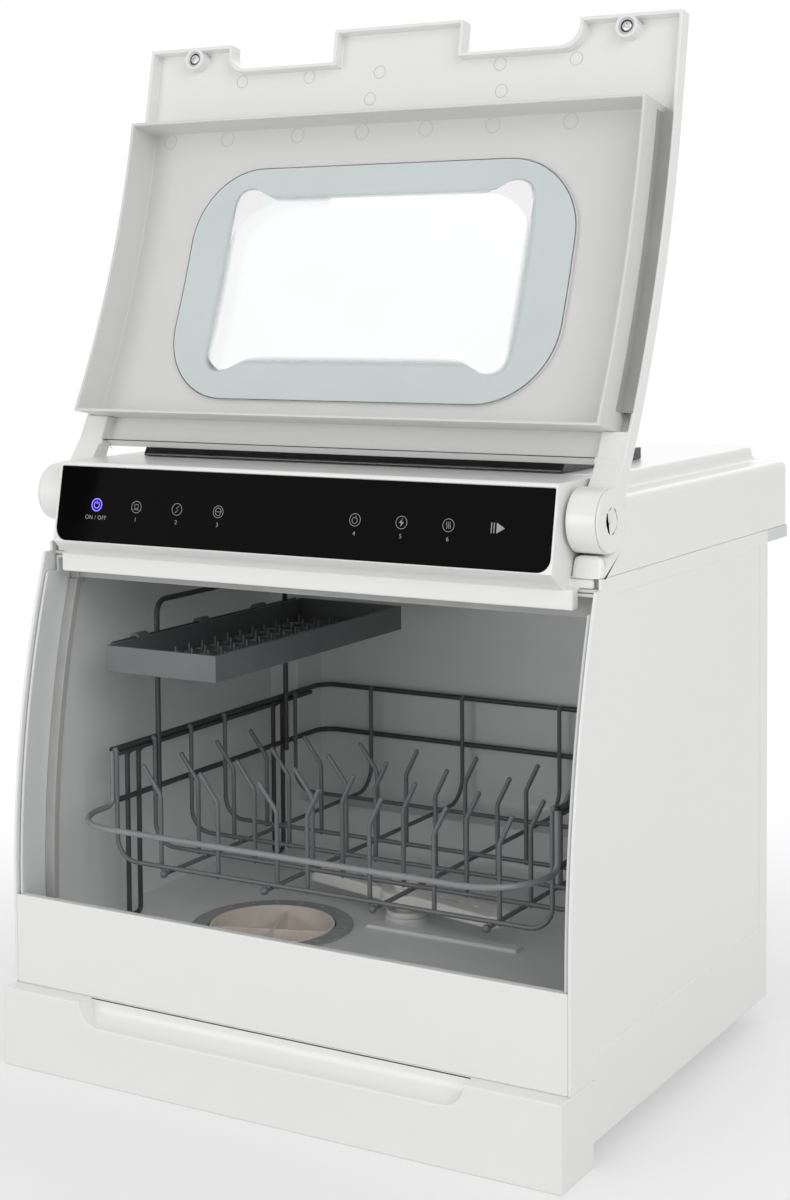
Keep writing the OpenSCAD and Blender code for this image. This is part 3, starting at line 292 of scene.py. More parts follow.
def grain_height(tree: NodeTree, where: NodeSocket, finish: Finish) -> NodeSocket:
    """Adds the nodes of a finish's fine relief.

    Args:
        tree: The material's tree.
        where: The Object coordinates.
        finish: The finish, whose grain and its size are read.

    Returns:
        The socket that gives the height, from 0 to 1.
    """
    scale = 1 / (finish.grain_mm * MM)
    if finish.grain is Grain.BRUSHED:
        stretched = add_node(tree, "ShaderNodeMapping", {"Vector": where}, {3: (0.04, 1.0, 1.0)})
        lines = add_node(tree, "ShaderNodeTexNoise", {"Vector": stretched.outputs["Vector"]},
                         {"Scale": scale, "Detail": 4.0, "Roughness": 0.7})
        return lines.outputs["Fac"]
    if finish.grain is Grain.ETCHED:
        pits = add_node(tree, "ShaderNodeTexVoronoi", {"Vector": where},
                        {"Scale": scale, "Randomness": 1.0}, feature="SMOOTH_F1")
        return pits.outputs["Distance"]
    detail = 1.0 if finish.grain is Grain.POLISHED else 2.5
    flow = add_node(tree, "ShaderNodeTexNoise", {"Vector": where},
                    {"Scale": scale, "Detail": detail, "Distortion": 0.4})
    return flow.outputs["Fac"]


# ABS from a polished mould: bright, even, with a barely visible orange peel
SHELL_ABS = Finish("white_abs_gloss_moulded", Slot.SHELL, "#f0f0ef", "#efefee", 0.3,
                   Grain.POLISHED, 12.0, 0.001, 200, 0.015, 1.53, coat=0.2, coat_roughness=0.1)
# the same ABS from a plain mould half: softer shine and a faint texture; its colour is painted
# greyer than the shell's as painted shade inside the door
LINER_ABS = Finish("white_abs_satin_painted_shade", Slot.REAR, "#dededd", "#dadad9", 0.4,
                   Grain.ETCHED, 1.1, 0.012, 90, 0.05, 1.53)
# powder-smooth polypropylene at the back, slightly greyer than the shell
REAR_PP = Finish("light_grey_polypropylene", Slot.REAR, "#dfe0e0", "#d8d9d9", 0.46,
                 Grain.ETCHED, 1.2, 0.03, 80, 0.06, 1.49)
# printed float glass: deep black under a clear hard face
PRINTED_GLASS = Finish("black_printed_glass", Slot.GLASS, "#020203", "#030304", 0.05,
                       Grain.POLISHED, 60, 0.002, 45, 0.03, 1.52, specular=0.02)
# ceramic ink for the key symbols, faintly matt
SYMBOL_INK = Finish("pale_ceramic_ink", Slot.GLASS, "#a3a5a7", "#8f9193", 0.5,
                    Grain.DIPPED, 0.5, 0.004, 6, 0.08)
# lit film behind the power key
LIT_FILM = Finish("lit_violet_film", Slot.GLASS, "#5a46ff", "#7a6cff", 0.35,
                  Grain.POLISHED, 0.5, 0.002, 3, 0.03, glow=2.4)
# smoked cast acrylic: near black in the mass, clear at a thin edge
SMOKED_ACRYLIC = Finish("smoked_cast_acrylic", Slot.SMOKED, "#4a4c50", "#44464a", 0.06,
                        Grain.POLISHED, 30, 0.006, 60, 0.03, 1.49, transmission=0.94)
# grey filled polypropylene of the tub, satin and a little cloudy
TUB_PP = Finish("grey_filled_polypropylene", Slot.TUB, "#e2e3e3", "#dbdcdc", 0.36,
                Grain.ETCHED, 1.4, 0.03, 90, 0.07, 1.49)
# extruded sealing rubber with a dull bloom
SEAL_EPDM = Finish("grey_sealing_rubber", Slot.SEAL, "#b9b9b8", "#a9a9a8", 0.6,
                   Grain.ETCHED, 0.6, 0.02, 25, 0.08, 1.5)
# black rubber of feet, sleeves and hoses
BLACK_EPDM = Finish("black_sealing_rubber", Slot.SEAL, "#1d1d1e", "#2a2a2b", 0.66,
                    Grain.ETCHED, 0.6, 0.03, 18, 0.08, 1.5)
# beige glass-filled polypropylene, with the flow marks of the filler
FILTER_PP = Finish("beige_glass_filled_polypropylene", Slot.FILTER, "#f0e8e0", "#e6dcd2", 0.42,
                   Grain.DIPPED, 2.2, 0.03, 14, 0.08, 1.49)
# vinyl dip over steel wire: dark, rounded and slightly waxy
VINYL_DARK = Finish("charcoal_vinyl_dip", Slot.WIRE, "#434446", "#3b3c3e", 0.42,
                    Grain.DIPPED, 2.6, 0.05, 30, 0.08, 1.52)
# the same dip on the thin wires, where light makes it look greyer
VINYL_GREY = Finish("grey_vinyl_dip", Slot.WIRE, "#6c6d6f", "#626365", 0.4,
                    Grain.DIPPED, 2.4, 0.05, 30, 0.08, 1.52)
# the dip on the front loop, painted paler as painted light where the front of the rack catches more
# light
VINYL_LIT_FRONT = Finish("front_lit_vinyl_dip", Slot.WIRE, "#868789", "#7a7b7d", 0.38,
                    Grain.DIPPED, 2.4, 0.05, 30, 0.08, 1.52)
# dark grey polypropylene of the cutlery tray
TRAY_PP = Finish("dark_grey_polypropylene", Slot.TRAY, "#6d6e70", "#616264", 0.4,
                 Grain.ETCHED, 0.9, 0.02, 35, 0.06, 1.49)
# clear polycarbonate panes
CLEAR_PC = Finish("clear_polycarbonate", Slot.WINDOW, "#ffffff", "#fdfefe", 0.02,
                  Grain.POLISHED, 40, 0.001, 80, 0.02, 1.45, specular=0.3, transmission=1.0)
# frit print round the window: pale green-grey, slightly see-through
FRIT = Finish("pale_green_frit_print", Slot.WINDOW, "#d3dcdb", "#cbd5d4", 0.33,
              Grain.ETCHED, 0.5, 0.01, 60, 0.05, 1.5, fading=True)
# the sawn and ground edge of a pane, bright where it scatters light
GROUND_EDGE = Finish("ground_polycarbonate_edge", Slot.WINDOW, "#eef0f0", "#e4e7e7", 0.5,
                     Grain.ETCHED, 0.4, 0.02, 20, 0.06, 1.5)
# the mark of an ejector pin: the same ABS, duller where the pin pressed, and coloured darker as
# painted shade round the ring
MARK_ABS = Finish("dulled_abs_pin_mark_painted_shade", Slot.REAR, "#cacac9", "#c2c2c1", 0.55,
                  Grain.ETCHED, 0.5, 0.01, 20, 0.05, 1.53)
# white sheet behind the corners of the clear middle: painted light in place of the lit shell seen
# through the panes
WHITE_PAINTED_LIGHT = Finish("white_painted_light_sheet", Slot.WINDOW, "#fcfcfc", "#f8f8f8", 0.45,
                   Grain.ETCHED, 0.5, 0.005, 40, 0.04, 1.5)
# white foam that closes the gaps beside the control housing
WHITE_FOAM = Finish("white_polyethylene_foam", Slot.REAR, "#efefee", "#e6e6e5", 0.7,
                    Grain.ETCHED, 0.8, 0.05, 12, 0.06, 1.5)
# grey strips along the door's inner walls: painted shade for the dark channel between liner and
# shell
PAINTED_SHADE_STRIP = Finish("grey_painted_shade_strip", Slot.REAR, "#aaaaa9", "#9d9d9c", 0.55,
                   Grain.ETCHED, 0.9, 0.03, 26, 0.07, 1.5)
# warm white PP of the spray arm and funnel
INNER_PP = Finish("natural_white_polypropylene", Slot.INNER, "#ebebe8", "#e1e1dd", 0.38,
                  Grain.ETCHED, 1.0, 0.02, 50, 0.07, 1.49)
# plain grey polypropylene: even, with a dull shine
GREY_PP = Finish("mid_grey_polypropylene", Slot.GREY, "#a5a6a8", "#989a9c", 0.42,
                 Grain.ETCHED, 0.9, 0.03, 35, 0.07, 1.49)
# glass-filled nylon: black, with a grey bloom where fibres reach the face
BLACK_PP = Finish("black_glass_filled_nylon", Slot.BLACK, "#1f2021", "#2a2b2c", 0.48,
                  Grain.DIPPED, 1.6, 0.04, 16, 0.09, 1.53)
# acetal: waxy and smooth, a strong orange
ORANGE_PP = Finish("orange_acetal", Slot.PUMP, "#e07a25", "#cf6c1c", 0.34,
                   Grain.POLISHED, 1.8, 0.02, 18, 0.06, 1.48)
# cold-rolled motor steel, drawn along its length
MOTOR_STEEL = Finish("drawn_zinc_plated_steel", Slot.MOTOR, "#b9bcbf", "#a6a9ad", 0.34,
                     Grain.BRUSHED, 0.35, 0.02, 22, 0.1, metallic=1.0)
# bright stainless of screws, pins and springs
STAINLESS = Finish("bright_stainless_steel", Slot.STEEL, "#d3d4d5", "#c3c4c6", 0.2,
                   Grain.BRUSHED, 0.25, 0.01, 8, 0.06, metallic=1.0)


@dataclass(frozen=True)
class BoardFinish:
    """Solder mask over copper: green with lighter tracks and pads."""

    name: str = "green_solder_mask"
    mask: str = "#155c33"
    track: str = "#2f8a55"
    track_mm: float = 2.4
    relief_mm: float = 0.06
    roughness: float = 0.32
    coat: float = 0.3

    def material(self) -> Material:
        """The Blender material, made once."""
        return build_board(self)


@cache
def build_board(finish: BoardFinish) -> Material:
    """Builds the circuit board's material.

    Args:
        finish: Its colours, gloss and the pitch of its tracks.

    Returns:
        A material with cells of track on green mask.
    """
    made, tree, where = new_material(finish.name)
    cells = add_node(tree, "ShaderNodeTexVoronoi", {"Vector": where},
                     {"Scale": 1 / (finish.track_mm * MM), "Randomness": 0.35},
                     distance="MANHATTAN", feature="F1")
    lines = add_node(tree, "ShaderNodeMapRange", {"Value": cells.outputs["Distance"]},
                     {"From Min": 0.42, "From Max": 0.5})
    tint = add_node(tree, "ShaderNodeMix", {0: lines.outputs["Result"]},
                    {6: linear(finish.mask), 7: linear(finish.track)}, data_type="RGBA")
    bump = add_node(tree, "ShaderNodeBump", {"Height": lines.outputs["Result"]},
                    {"Distance": finish.relief_mm * MM})
    shader = add_node(tree, "ShaderNodeBsdfPrincipled",
                      {"Base Color": tint.outputs[2], "Normal": bump.outputs["Normal"]},
                      {"Roughness": finish.roughness, "Coat Weight": finish.coat})
    add_node(tree, "ShaderNodeOutputMaterial", {"Surface": shader.outputs["BSDF"]})
    return made


BOARD = BoardFinish()


# ---- making pieces ---------------------------------------------------------


def body_of(node: str) -> str:
    """Name of the body that a CAD node rides on."""
    bodies = frame["record"]["behaviour"]["bodies"]
    return next(name for name, members in bodies.items() if node in members)


def dress(node: str, finish: Finish | BoardFinish) -> None:
    """Gives a carried-over CAD node its material."""
    data = frame["nodes"][node].data
    data.materials.clear()
    data.materials.append(finish.material())
    LOG.info("dressed %s with %s", node, finish.name)


def linked(data: ID, name: str) -> Object:
    """A mesh, text, lamp or camera as an object at the origin of the scene."""
    made = bpy.data.objects.new(name, data)
    bpy.context.scene.collection.objects.link(made)
    return made


def settle(
    mesh: Mesh, name: str, body: str, finish: Finish, stands_for: Sequence[str] = ()
) -> Object:
    """Turns a finished mesh into a piece of the object.

    Args:
        mesh: The mesh, in metres, already in place.
        name: The piece's name.
        body: The CAD body that it rides on.
        finish: Its material.
        stands_for: CAD nodes that it replaces.

    Returns:
        The piece.
    """
    mesh.materials.clear()
    mesh.materials.append(finish.material())
    piece = linked(mesh, name)
    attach(piece, body)
    if stands_for:
        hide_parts(*stands_for)
    LOG.info("made %s on %s: %d faces", name, body, len(mesh.polygons))
    return piece


def baked(source: Object) -> Mesh:
    """The object's mesh with its modifiers applied; the object goes away."""
    graph = bpy.context.evaluated_depsgraph_get()
    made = bpy.data.meshes.new_from_object(source.evaluated_get(graph))
    bpy.data.objects.remove(source)
    return made


def closed_mesh(form: BMesh, name: str, crease: float | None = None) -> Mesh:
    """Turns a form into a mesh with its faces outwards; the form is used up.

    Args:
        form: The form, in metres.
        name: The mesh's name.
        crease: Smooth shading below this many degrees, or none for flat faces.

    Returns:
        The mesh.
    """
    bmesh.ops.recalc_face_normals(form, faces=form.faces)
    mesh = bpy.data.meshes.new(name)
    form.to_mesh(mesh)
    form.free()
    if crease is not None:
        mesh.shade_smooth()
        mesh.set_sharp_from_angle(angle=math.radians(crease))
    return mesh


def room_beside(edge: BMEdge, sharp: set[BMEdge]) -> float:
    """How far an edge may be cut back before it meets the next one.

    Args:
        edge: The sharp edge.
        sharp: Every sharp edge of the mesh.

    Returns:
        The distance in metres.
    """
    start = (edge.verts[0].co + edge.verts[1].co) / 2
    run = (edge.verts[1].co - edge.verts[0].co).normalized()
    room = 1.0
    for loop in edge.link_loops:
        face = loop.face
        along = run if loop.vert is edge.verts[0] else -run
        inward = face.normal.cross(along).normalized()
        for other in face.edges:
            if other is edge:
                continue
            a, b = (v.co - start for v in other.verts)
            (au, av), (bu, bv) = ((c.dot(along), c.dot(inward)) for c in (a, b))
            if au * bu > 0 or abs(au - bu) < 1e-9:
                continue
            reach = av + (bv - av) * au / (au - bu)
            if reach > 1e-6:
                room = min(room, reach * (SHARED_ROOM if other in sharp else OWN_ROOM))
    return room


def round_edges(form: BMesh, radius_mm: float, segments: int) -> Mesh:
    """Rounds the sharp edges of a form, less where there is little room.

    Args:
        form: A closed form in metres, which is used up.
        radius_mm: The moulded edge radius.
        segments: Steps across each edge.

    Returns:
        A new mesh with even shading.
    """
    radius, limit = radius_mm * MM, math.radians(SHARP_ANGLE)
    form.normal_update()
    share = form.edges.layers.float.new("bevel_weight_edge")
    sharp = {e for e in form.edges if len(e.link_faces) == 2 and e.calc_face_angle(0.0) > limit}
    for edge in sharp:
        edge[share] = min(1.0, room_beside(edge, sharp) / radius)
    mesh = bpy.data.meshes.new("rounding")
    form.to_mesh(mesh)
    form.free()
    if "custom_normal" in mesh.attributes:
        mesh.attributes.remove(mesh.attributes["custom_normal"])
    mesh.shade_smooth()
    source = linked(mesh, "rounding")
    edge = source.modifiers.new("edge", "BEVEL")
    edge.width = radius
    edge.segments = segments
    edge.limit_method = "WEIGHT"
    edge.use_clamp_overlap = False
    edge.miter_outer = "MITER_SHARP"
    even = source.modifiers.new("even", "WEIGHTED_NORMAL")
    even.keep_sharp = True
    return baked(source)


def moulded(node: str, finish: Finish, radius_mm: float, segments: int) -> Object:
    """Replaces a CAD node by a copy with moulded edges.

    Args:
        node: The CAD node, whose shape is kept.
        finish: Its material.
        radius_mm: The edge radius.
        segments: Steps across each edge.

    Returns:
        The piece, on the node's own body.
    """
    form = bmesh.new()
    form.from_mesh(frame["nodes"][node].data)
    bmesh.ops.remove_doubles(form, verts=form.verts, dist=WELD)
    bmesh.ops.dissolve_limit(form, angle_limit=math.radians(FLAT_ANGLE), verts=form.verts,
                             edges=form.edges, use_dissolve_boundaries=False)
    return settle(round_edges(form, radius_mm, segments), node + "_moulded",
                  body_of(node), finish, [node])


def ring_at(form: BMesh, r: float, z: float, steps: int, cross: float = 0.0) -> list[BMVert]:
    """Adds a ring of vertices about Z.

    Args:
        form: The form that it is added to.
        r: Radius in mm.
        z: Height in mm.
        steps: Points round the circle.
        cross: How far it is pulled in between four arms, from 0 to 1.

    Returns:
        The ring.
    """
    made = []
    for i in range(steps):
        a = 2 * math.pi * i / steps
        arm = max(abs(math.cos(a)), abs(math.sin(a)))
        pull = 1 - cross * (1 - max(0.0, (arm - ARM_START) / (1 - ARM_START)) ** 0.5)
        made.append(form.verts.new((r * pull * MM * math.cos(a), r * pull * MM * math.sin(a),
                                    z * MM)))
    return made


def join_rings(form: BMesh, rings: Sequence[list[BMVert]], capped: bool = False) -> None:
    """Fills the wall between rings of vertices.

    Args:
        form: The form that the rings are in.
        rings: The rings in order, where one vertex alone is a pole.
        capped: Whether the first and last ring are filled as well.
    """
    steps = max(len(ring) for ring in rings)
    for a, b in zip(rings, rings[1:]):
        for i in range(steps):
            j = (i + 1) % steps
            corner = [a[i % len(a)], a[j % len(a)], b[j % len(b)], b[i % len(b)]]
            kept = list(dict.fromkeys(corner))
            if len(kept) > 2:
                form.faces.new(kept)
    if capped:
        form.faces.new(rings[0])
        form.faces.new(rings[-1])


def turned(profile: Outline, steps: int) -> Mesh:
    """Turns a profile about Z.

    Args:
        profile: (radius, height) points in mm, from axis to axis, or open below where
            the piece is sunk into another.
        steps: Points round the circle.

    Returns:
        The mesh, in metres.
    """
    form = bmesh.new()
    join_rings(form, [ring_at(form, r, z, steps if r > 1e-6 else 1) for r, z in profile])
    return closed_mesh(form, "turned", TURNED_CREASE)


@dataclass
class Relief:
    """Thin raised shapes on a surface, gathered into one mesh."""

    place: Place
    low: float
    high: float
    form: BMesh = field(default_factory=bmesh.new)

    def sheet(self, rows: Sequence[Outline], closed: bool) -> None:
        """Adds a layer across rows of points.

        Args:
            rows: Lines of equal length, side by side.
            closed: Whether each line is a loop.
        """
        tops = [[self.form.verts.new(self.place(u, v, self.high)) for u, v in row] for row in rows]
        lows = [[self.form.verts.new(self.place(u, v, self.low)) for u, v in row] for row in rows]
        count = len(rows[0])
        spans = range(count if closed else count - 1)
        for level, flip in ((tops, False), (lows, True)):
            for a, b in zip(level, level[1:]):
                for i in spans:
                    j = (i + 1) % count
                    quad = [a[i], a[j], b[j], b[i]]
                    self.form.faces.new(quad[::-1] if flip else quad)
        for i in spans:
            j = (i + 1) % count
            self.form.faces.new([tops[0][j], tops[0][i], lows[0][i], lows[0][j]])
            self.form.faces.new([tops[-1][i], tops[-1][j], lows[-1][j], lows[-1][i]])
        if not closed:
            for i in (0, count - 1):
                for k in range(len(rows) - 1):
                    self.form.faces.new([tops[k][i], tops[k + 1][i], lows[k + 1][i], lows[k][i]])

    def stroke(self, points: Outline, width: float, closed: bool = False) -> None:
        """Adds a line of even width.

        Args:
            points: What it runs through.
            width: Its width in mm.
            closed: Whether it is a loop.
        """
        sides: tuple[Outline, Outline] = ([], [])
        for i, (u, v) in enumerate(points):
            before = points[i - 1] if closed or i else points[i]
            after = points[(i + 1) % len(points)] if closed or i < len(points) - 1 else points[i]
            run = Vector((after[0] - before[0], after[1] - before[1])).normalized()
            for side, sign in zip(sides, (0.5, -0.5)):
                side.append((u - run.y * width * sign, v + run.x * width * sign))
        self.sheet(sides, closed)

    def fill(self, outline: Outline) -> None:
        """Adds a flat plate with this outline."""
        mid = (sum(u for u, _ in outline) / len(outline), sum(v for _, v in outline) / len(outline))
        inner = [(mid[0] + (u - mid[0]) * 0.02, mid[1] + (v - mid[1]) * 0.02) for u, v in outline]
        self.sheet([outline, inner], True)

    def mesh(self, name: str) -> Mesh:
        """The gathered mesh, with its faces turned outwards."""
        return closed_mesh(self.form, name)


def arc(
    u: float, v: float, r: float, start: float = 0, end: float = 360, steps: int = 40
) -> Outline:
    """Points on a circle; a whole circle isn't closed twice.

    Args:
        u: Its centre, across.
        v: Its centre, along.
        r: Its radius.
        start: First angle in degrees.
        end: Last angle in degrees.
        steps: Steps from one to the other.

    Returns:
        The points.
    """
    whole = abs(end - start) >= 360
    count = steps if whole else steps + 1
    return [(u + r * math.cos(math.radians(start + (end - start) * i / steps)),
             v + r * math.sin(math.radians(start + (end - start) * i / steps)))
            for i in range(count)]


def rounded_box(x0: float, x1: float, z0: float, z1: float, r: float, steps: int = 12) -> Outline:
    """Outline of a rectangle with round corners.

    Args:
        x0: Left edge.
        x1: Right edge.
        z0: Lower edge.
        z1: Upper edge.
        r: Corner radius.
        steps: Steps round each corner.

    Returns:
        The outline.
    """
    made: Outline = []
    for cx, cz, start in ((x1 - r, z0 + r, -90), (x1 - r, z1 - r, 0),
                          (x0 + r, z1 - r, 90), (x0 + r, z0 + r, 180)):
        made += arc(cx, cz, r, start, start + 90, steps)
    return made


def softened(points: Outline, rounds: int = 2) -> Outline:
    """Cuts the corners of a closed outline, again and again.

    Args:
        points: The outline.
        rounds: How often they are cut.

    Returns:
        The softer outline.
    """
    for _ in range(rounds):
        cut: Outline = []
        for (a, b), (c, d) in zip(points, points[1:] + points[:1]):
            cut += [(a * 0.75 + c * 0.25, b * 0.75 + d * 0.25),
                    (a * 0.25 + c * 0.75, b * 0.25 + d * 0.75)]
        points = cut
    return points


def sampled(points: Outline, centre: tuple[float, float], count: int) -> Outline:
    """Points where rays from a centre meet a closed outline, evenly turned.

    Args:
        points: The outline.
        centre: Where the rays start.
        count: The number of rays.

    Returns:
        The farthest meeting point of each ray.
    """
    made: Outline = []
    for i in range(count):
        a = 2 * math.pi * i / count
        dx, dy = math.cos(a), math.sin(a)
        best = 0.0
        for (ax, ay), (bx, by) in zip(points, points[1:] + points[:1]):
            ex, ey = bx - ax, by - ay
            det = dx * -ey + dy * ex
            if abs(det) < 1e-12:
                continue
            px, py = ax - centre[0], ay - centre[1]
            t = (px * -ey + py * ex) / det
            s = (dx * py - dy * px) / det
            if t > best and -1e-9 <= s <= 1 + 1e-9:
                best = t
        made.append((centre[0] + dx * best, centre[1] + dy * best))
    return made


# ---- geometry trees --------------------------------------------------------


def new_tree(name: str, sockets: dict[str, str]) -> tuple[NodeTree, Node]:
    """Starts a geometry tree.

    Args:
        name: The tree's name.
        sockets: Input name to socket type, after the geometry itself.

    Returns:
        The tree and its input node.
    """
    tree = bpy.data.node_groups.new(name, "GeometryNodeTree")
    tree.interface.new_socket("Geometry", in_out="INPUT", socket_type="NodeSocketGeometry")
    tree.interface.new_socket("Geometry", in_out="OUTPUT", socket_type="NodeSocketGeometry")
    for label, kind in sockets.items():
        tree.interface.new_socket(label, in_out="INPUT", socket_type=kind)
    return tree, add_node(tree, "NodeGroupInput")


def end_tree(tree: NodeTree, given: Node, last: NodeSocket, smooth: bool) -> None:
    """Ends a tree in Realize Instances and Set Material.

    Args:
        tree: The geometry tree.
        given: Its input node.
        last: The geometry made so far.
        smooth: Whether every face is shaded smooth.
    """
    real = add_node(tree, "GeometryNodeRealizeInstances", {"Geometry": last})
    if smooth:
        real = add_node(tree, "GeometryNodeSetShadeSmooth", {"Geometry": real.outputs[0]})
    coloured = add_node(tree, "GeometryNodeSetMaterial",
                        {"Geometry": real.outputs[0], "Material": given.outputs["Finish"]})
    add_node(tree, "NodeGroupOutput", {"Geometry": coloured.outputs[0]})


@cache
def wire_tree() -> NodeTree:
    """Tree that turns lines of edges into bent wires with round tips."""
    tree, given = new_tree("bent_wires", {"Wire radius": "NodeSocketFloat",
                                          "Tip radius": "NodeSocketFloat",
                                          "Sides": "NodeSocketInt",
                                          "Finish": "NodeSocketMaterial"})
    lines = add_node(tree, "GeometryNodeMeshToCurve", {"Mesh": given.outputs["Geometry"]})
    bend = add_node(tree, "GeometryNodeInputNamedAttribute", None, {"Name": "bend"},
                    data_type="FLOAT")
    curved = add_node(tree, "GeometryNodeFilletCurve",
                      {"Curve": lines.outputs[0], "Radius": bend.outputs["Attribute"]},
                      {"Count": 7, "Limit Radius": True}, mode="POLY")
    section = add_node(tree, "GeometryNodeCurvePrimitiveCircle",
                       {"Radius": given.outputs["Wire radius"],
                        "Resolution": given.outputs["Sides"]})
    tube = add_node(tree, "GeometryNodeCurveToMesh",
                    {"Curve": curved.outputs[0], "Profile Curve": section.outputs["Curve"]},
                    {"Fill Caps": True})
    ball = add_node(tree, "GeometryNodeMeshUVSphere", {"Radius": given.outputs["Tip radius"]},
                    {"Segments": 14, "Rings": 9})
    ends = add_node(tree, "GeometryNodeCurveEndpointSelection", None,
                    {"Start Size": 1, "End Size": 1})
    tips = add_node(tree, "GeometryNodeInstanceOnPoints",
                    {"Points": curved.outputs[0], "Selection": ends.outputs[0],
                     "Instance": ball.outputs["Mesh"]})
    both = add_node(tree, "GeometryNodeJoinGeometry", {"Geometry": tube.outputs[0]})
    tree.links.new(tips.outputs[0], both.inputs["Geometry"])
    end_tree(tree, given, both.outputs[0], smooth=True)
    return tree


@cache
def repeat_tree() -> NodeTree:
    """Tree that stands a pattern piece on every point, facing as the point says."""
    tree, given = new_tree("repeated_piece", {"Pattern": "NodeSocketObject",
                                              "Finish": "NodeSocketMaterial"})
    facing = add_node(tree, "GeometryNodeInputNamedAttribute", None, {"Name": "facing"},
                      data_type="FLOAT_VECTOR")
    size = add_node(tree, "GeometryNodeInputNamedAttribute", None, {"Name": "size"},
                    data_type="FLOAT")
    turn = add_node(tree, "FunctionNodeAlignRotationToVector",
                    {"Vector": facing.outputs["Attribute"]}, axis="Z")
    pattern = add_node(tree, "GeometryNodeObjectInfo", {"Object": given.outputs["Pattern"]})
    stood = add_node(tree, "GeometryNodeInstanceOnPoints",
                     {"Points": given.outputs["Geometry"],
                      "Instance": pattern.outputs["Geometry"],
                      "Rotation": turn.outputs[0], "Scale": size.outputs["Attribute"]})
    end_tree(tree, given, stood.outputs[0], smooth=False)
    return tree


def grown(mesh: Mesh, tree: NodeTree, inputs: dict[str, object]) -> Mesh:
    """Runs a geometry tree on a mesh.

    Args:
        mesh: The points or lines that it starts from.
        tree: The tree.
        inputs: The tree's named inputs.

    Returns:
        The plain mesh that comes out.
    """
    source = linked(mesh, "growing")
    grower = source.modifiers.new("grower", "NODES")
    grower.node_group = tree
    for item in tree.interface.items_tree:
        if item.in_out == "INPUT" and item.name in inputs:
            grower[item.identifier] = inputs[item.name]
    return baked(source)


@dataclass(frozen=True)
class Run:
    """One wire: its corners and the radius that each is bent to, in mm."""

    points: tuple[tuple[float, float, float], ...]
    bend: float = 8.0
    bends: tuple[float, ...] = ()


def wires(
    name: str, body: str, runs: Sequence[Run], radius: float, tip: float,
    finish: Finish, stands_for: Sequence[str] = (),
) -> Object:
    """Makes bent wires.

    Args:
        name: The piece's name.
        body: The body that it rides on.
        runs: The wires.
        radius: Radius of the coated wire in mm.
        tip: Radius of its round ends in mm.
        finish: Its material.
        stands_for: CAD nodes that it replaces.

    Returns:
        The piece.
    """
    corners = [at(*p) for run in runs for p in run.points]
    edges, start = [], 0
    for run in runs:
        edges += [(start + i, start + i + 1) for i in range(len(run.points) - 1)]
        start += len(run.points)
    lines = bpy.data.meshes.new("lines")
    lines.from_pydata(corners, edges, [])
    bends = lines.attributes.new("bend", "FLOAT", "POINT")
    bends.data.foreach_set("value", [
        radius * MM for run in runs for radius in run.bends or [run.bend] * len(run.points)])
    mesh = grown(lines, wire_tree(), {"Wire radius": radius * MM, "Tip radius": tip * MM,
                                      "Sides": 14, "Finish": finish.material()})
    return settle(mesh, name, body, finish, stands_for)


def repeated(
    name: str, body: str, pattern: Mesh, spots: Sequence[tuple[Vector, Vector, float]],
    finish: Finish, stands_for: Sequence[str] = (),
) -> Object:
    """Stands one small mesh on many spots.

    Args:
        name: The piece's name.
        body: The body that it rides on.
        pattern: The mesh that repeats, standing on Z.
        spots: Place, facing and scale of each.
        finish: Its material.
        stands_for: CAD nodes that it replaces.

    Returns:
        The piece.
    """
    points = bpy.data.meshes.new("spots")
    points.from_pydata([s[0] for s in spots], [], [])
    facing = points.attributes.new("facing", "FLOAT_VECTOR", "POINT")
    facing.data.foreach_set("vector", [c for s in spots for c in s[1]])
    size = points.attributes.new("size", "FLOAT", "POINT")
    size.data.foreach_set("value", [s[2] for s in spots])
    model = linked(pattern, "pattern")
    mesh = grown(points, repeat_tree(), {"Pattern": model, "Finish": finish.material()})
    bpy.data.objects.remove(model)
    return settle(mesh, name, body, finish, stands_for)


# ---- small parts -----------------------------------------------------------


def screw_head(radius: float, height: float, shank: float, length: float) -> Mesh:
    """A pan-head screw with a cross recess, its seat at z 0.

    Args:
        radius: Head radius in mm.
        height: Head height in mm.
        shank: Shank radius in mm.
        length: Shank length in mm.

    Returns:
        The mesh, in metres.
    """
    form = bmesh.new()
    profile = ((shank * 0.5, -length, 0), (shank, -length + 0.8, 0), (shank, 0, 0),
               (radius, 0, 0), (radius, height * 0.35, 0), (radius * 0.9, height * 0.75, 0),
               (radius * 0.72, height * 0.95, 0), (radius * 0.6, height, 0.6),
               (radius * 0.5, height * 0.35, 0.6))
    rings = [ring_at(form, r, z, RING_STEPS, cross) for r, z, cross in profile]
    join_rings(form, rings, capped=True)
    return closed_mesh(form, "screw", SCREW_CREASE)


# a CAD node, its finish, the radius of its edges in mm and the steps across them
Shape = tuple[str, Finish, float, int]


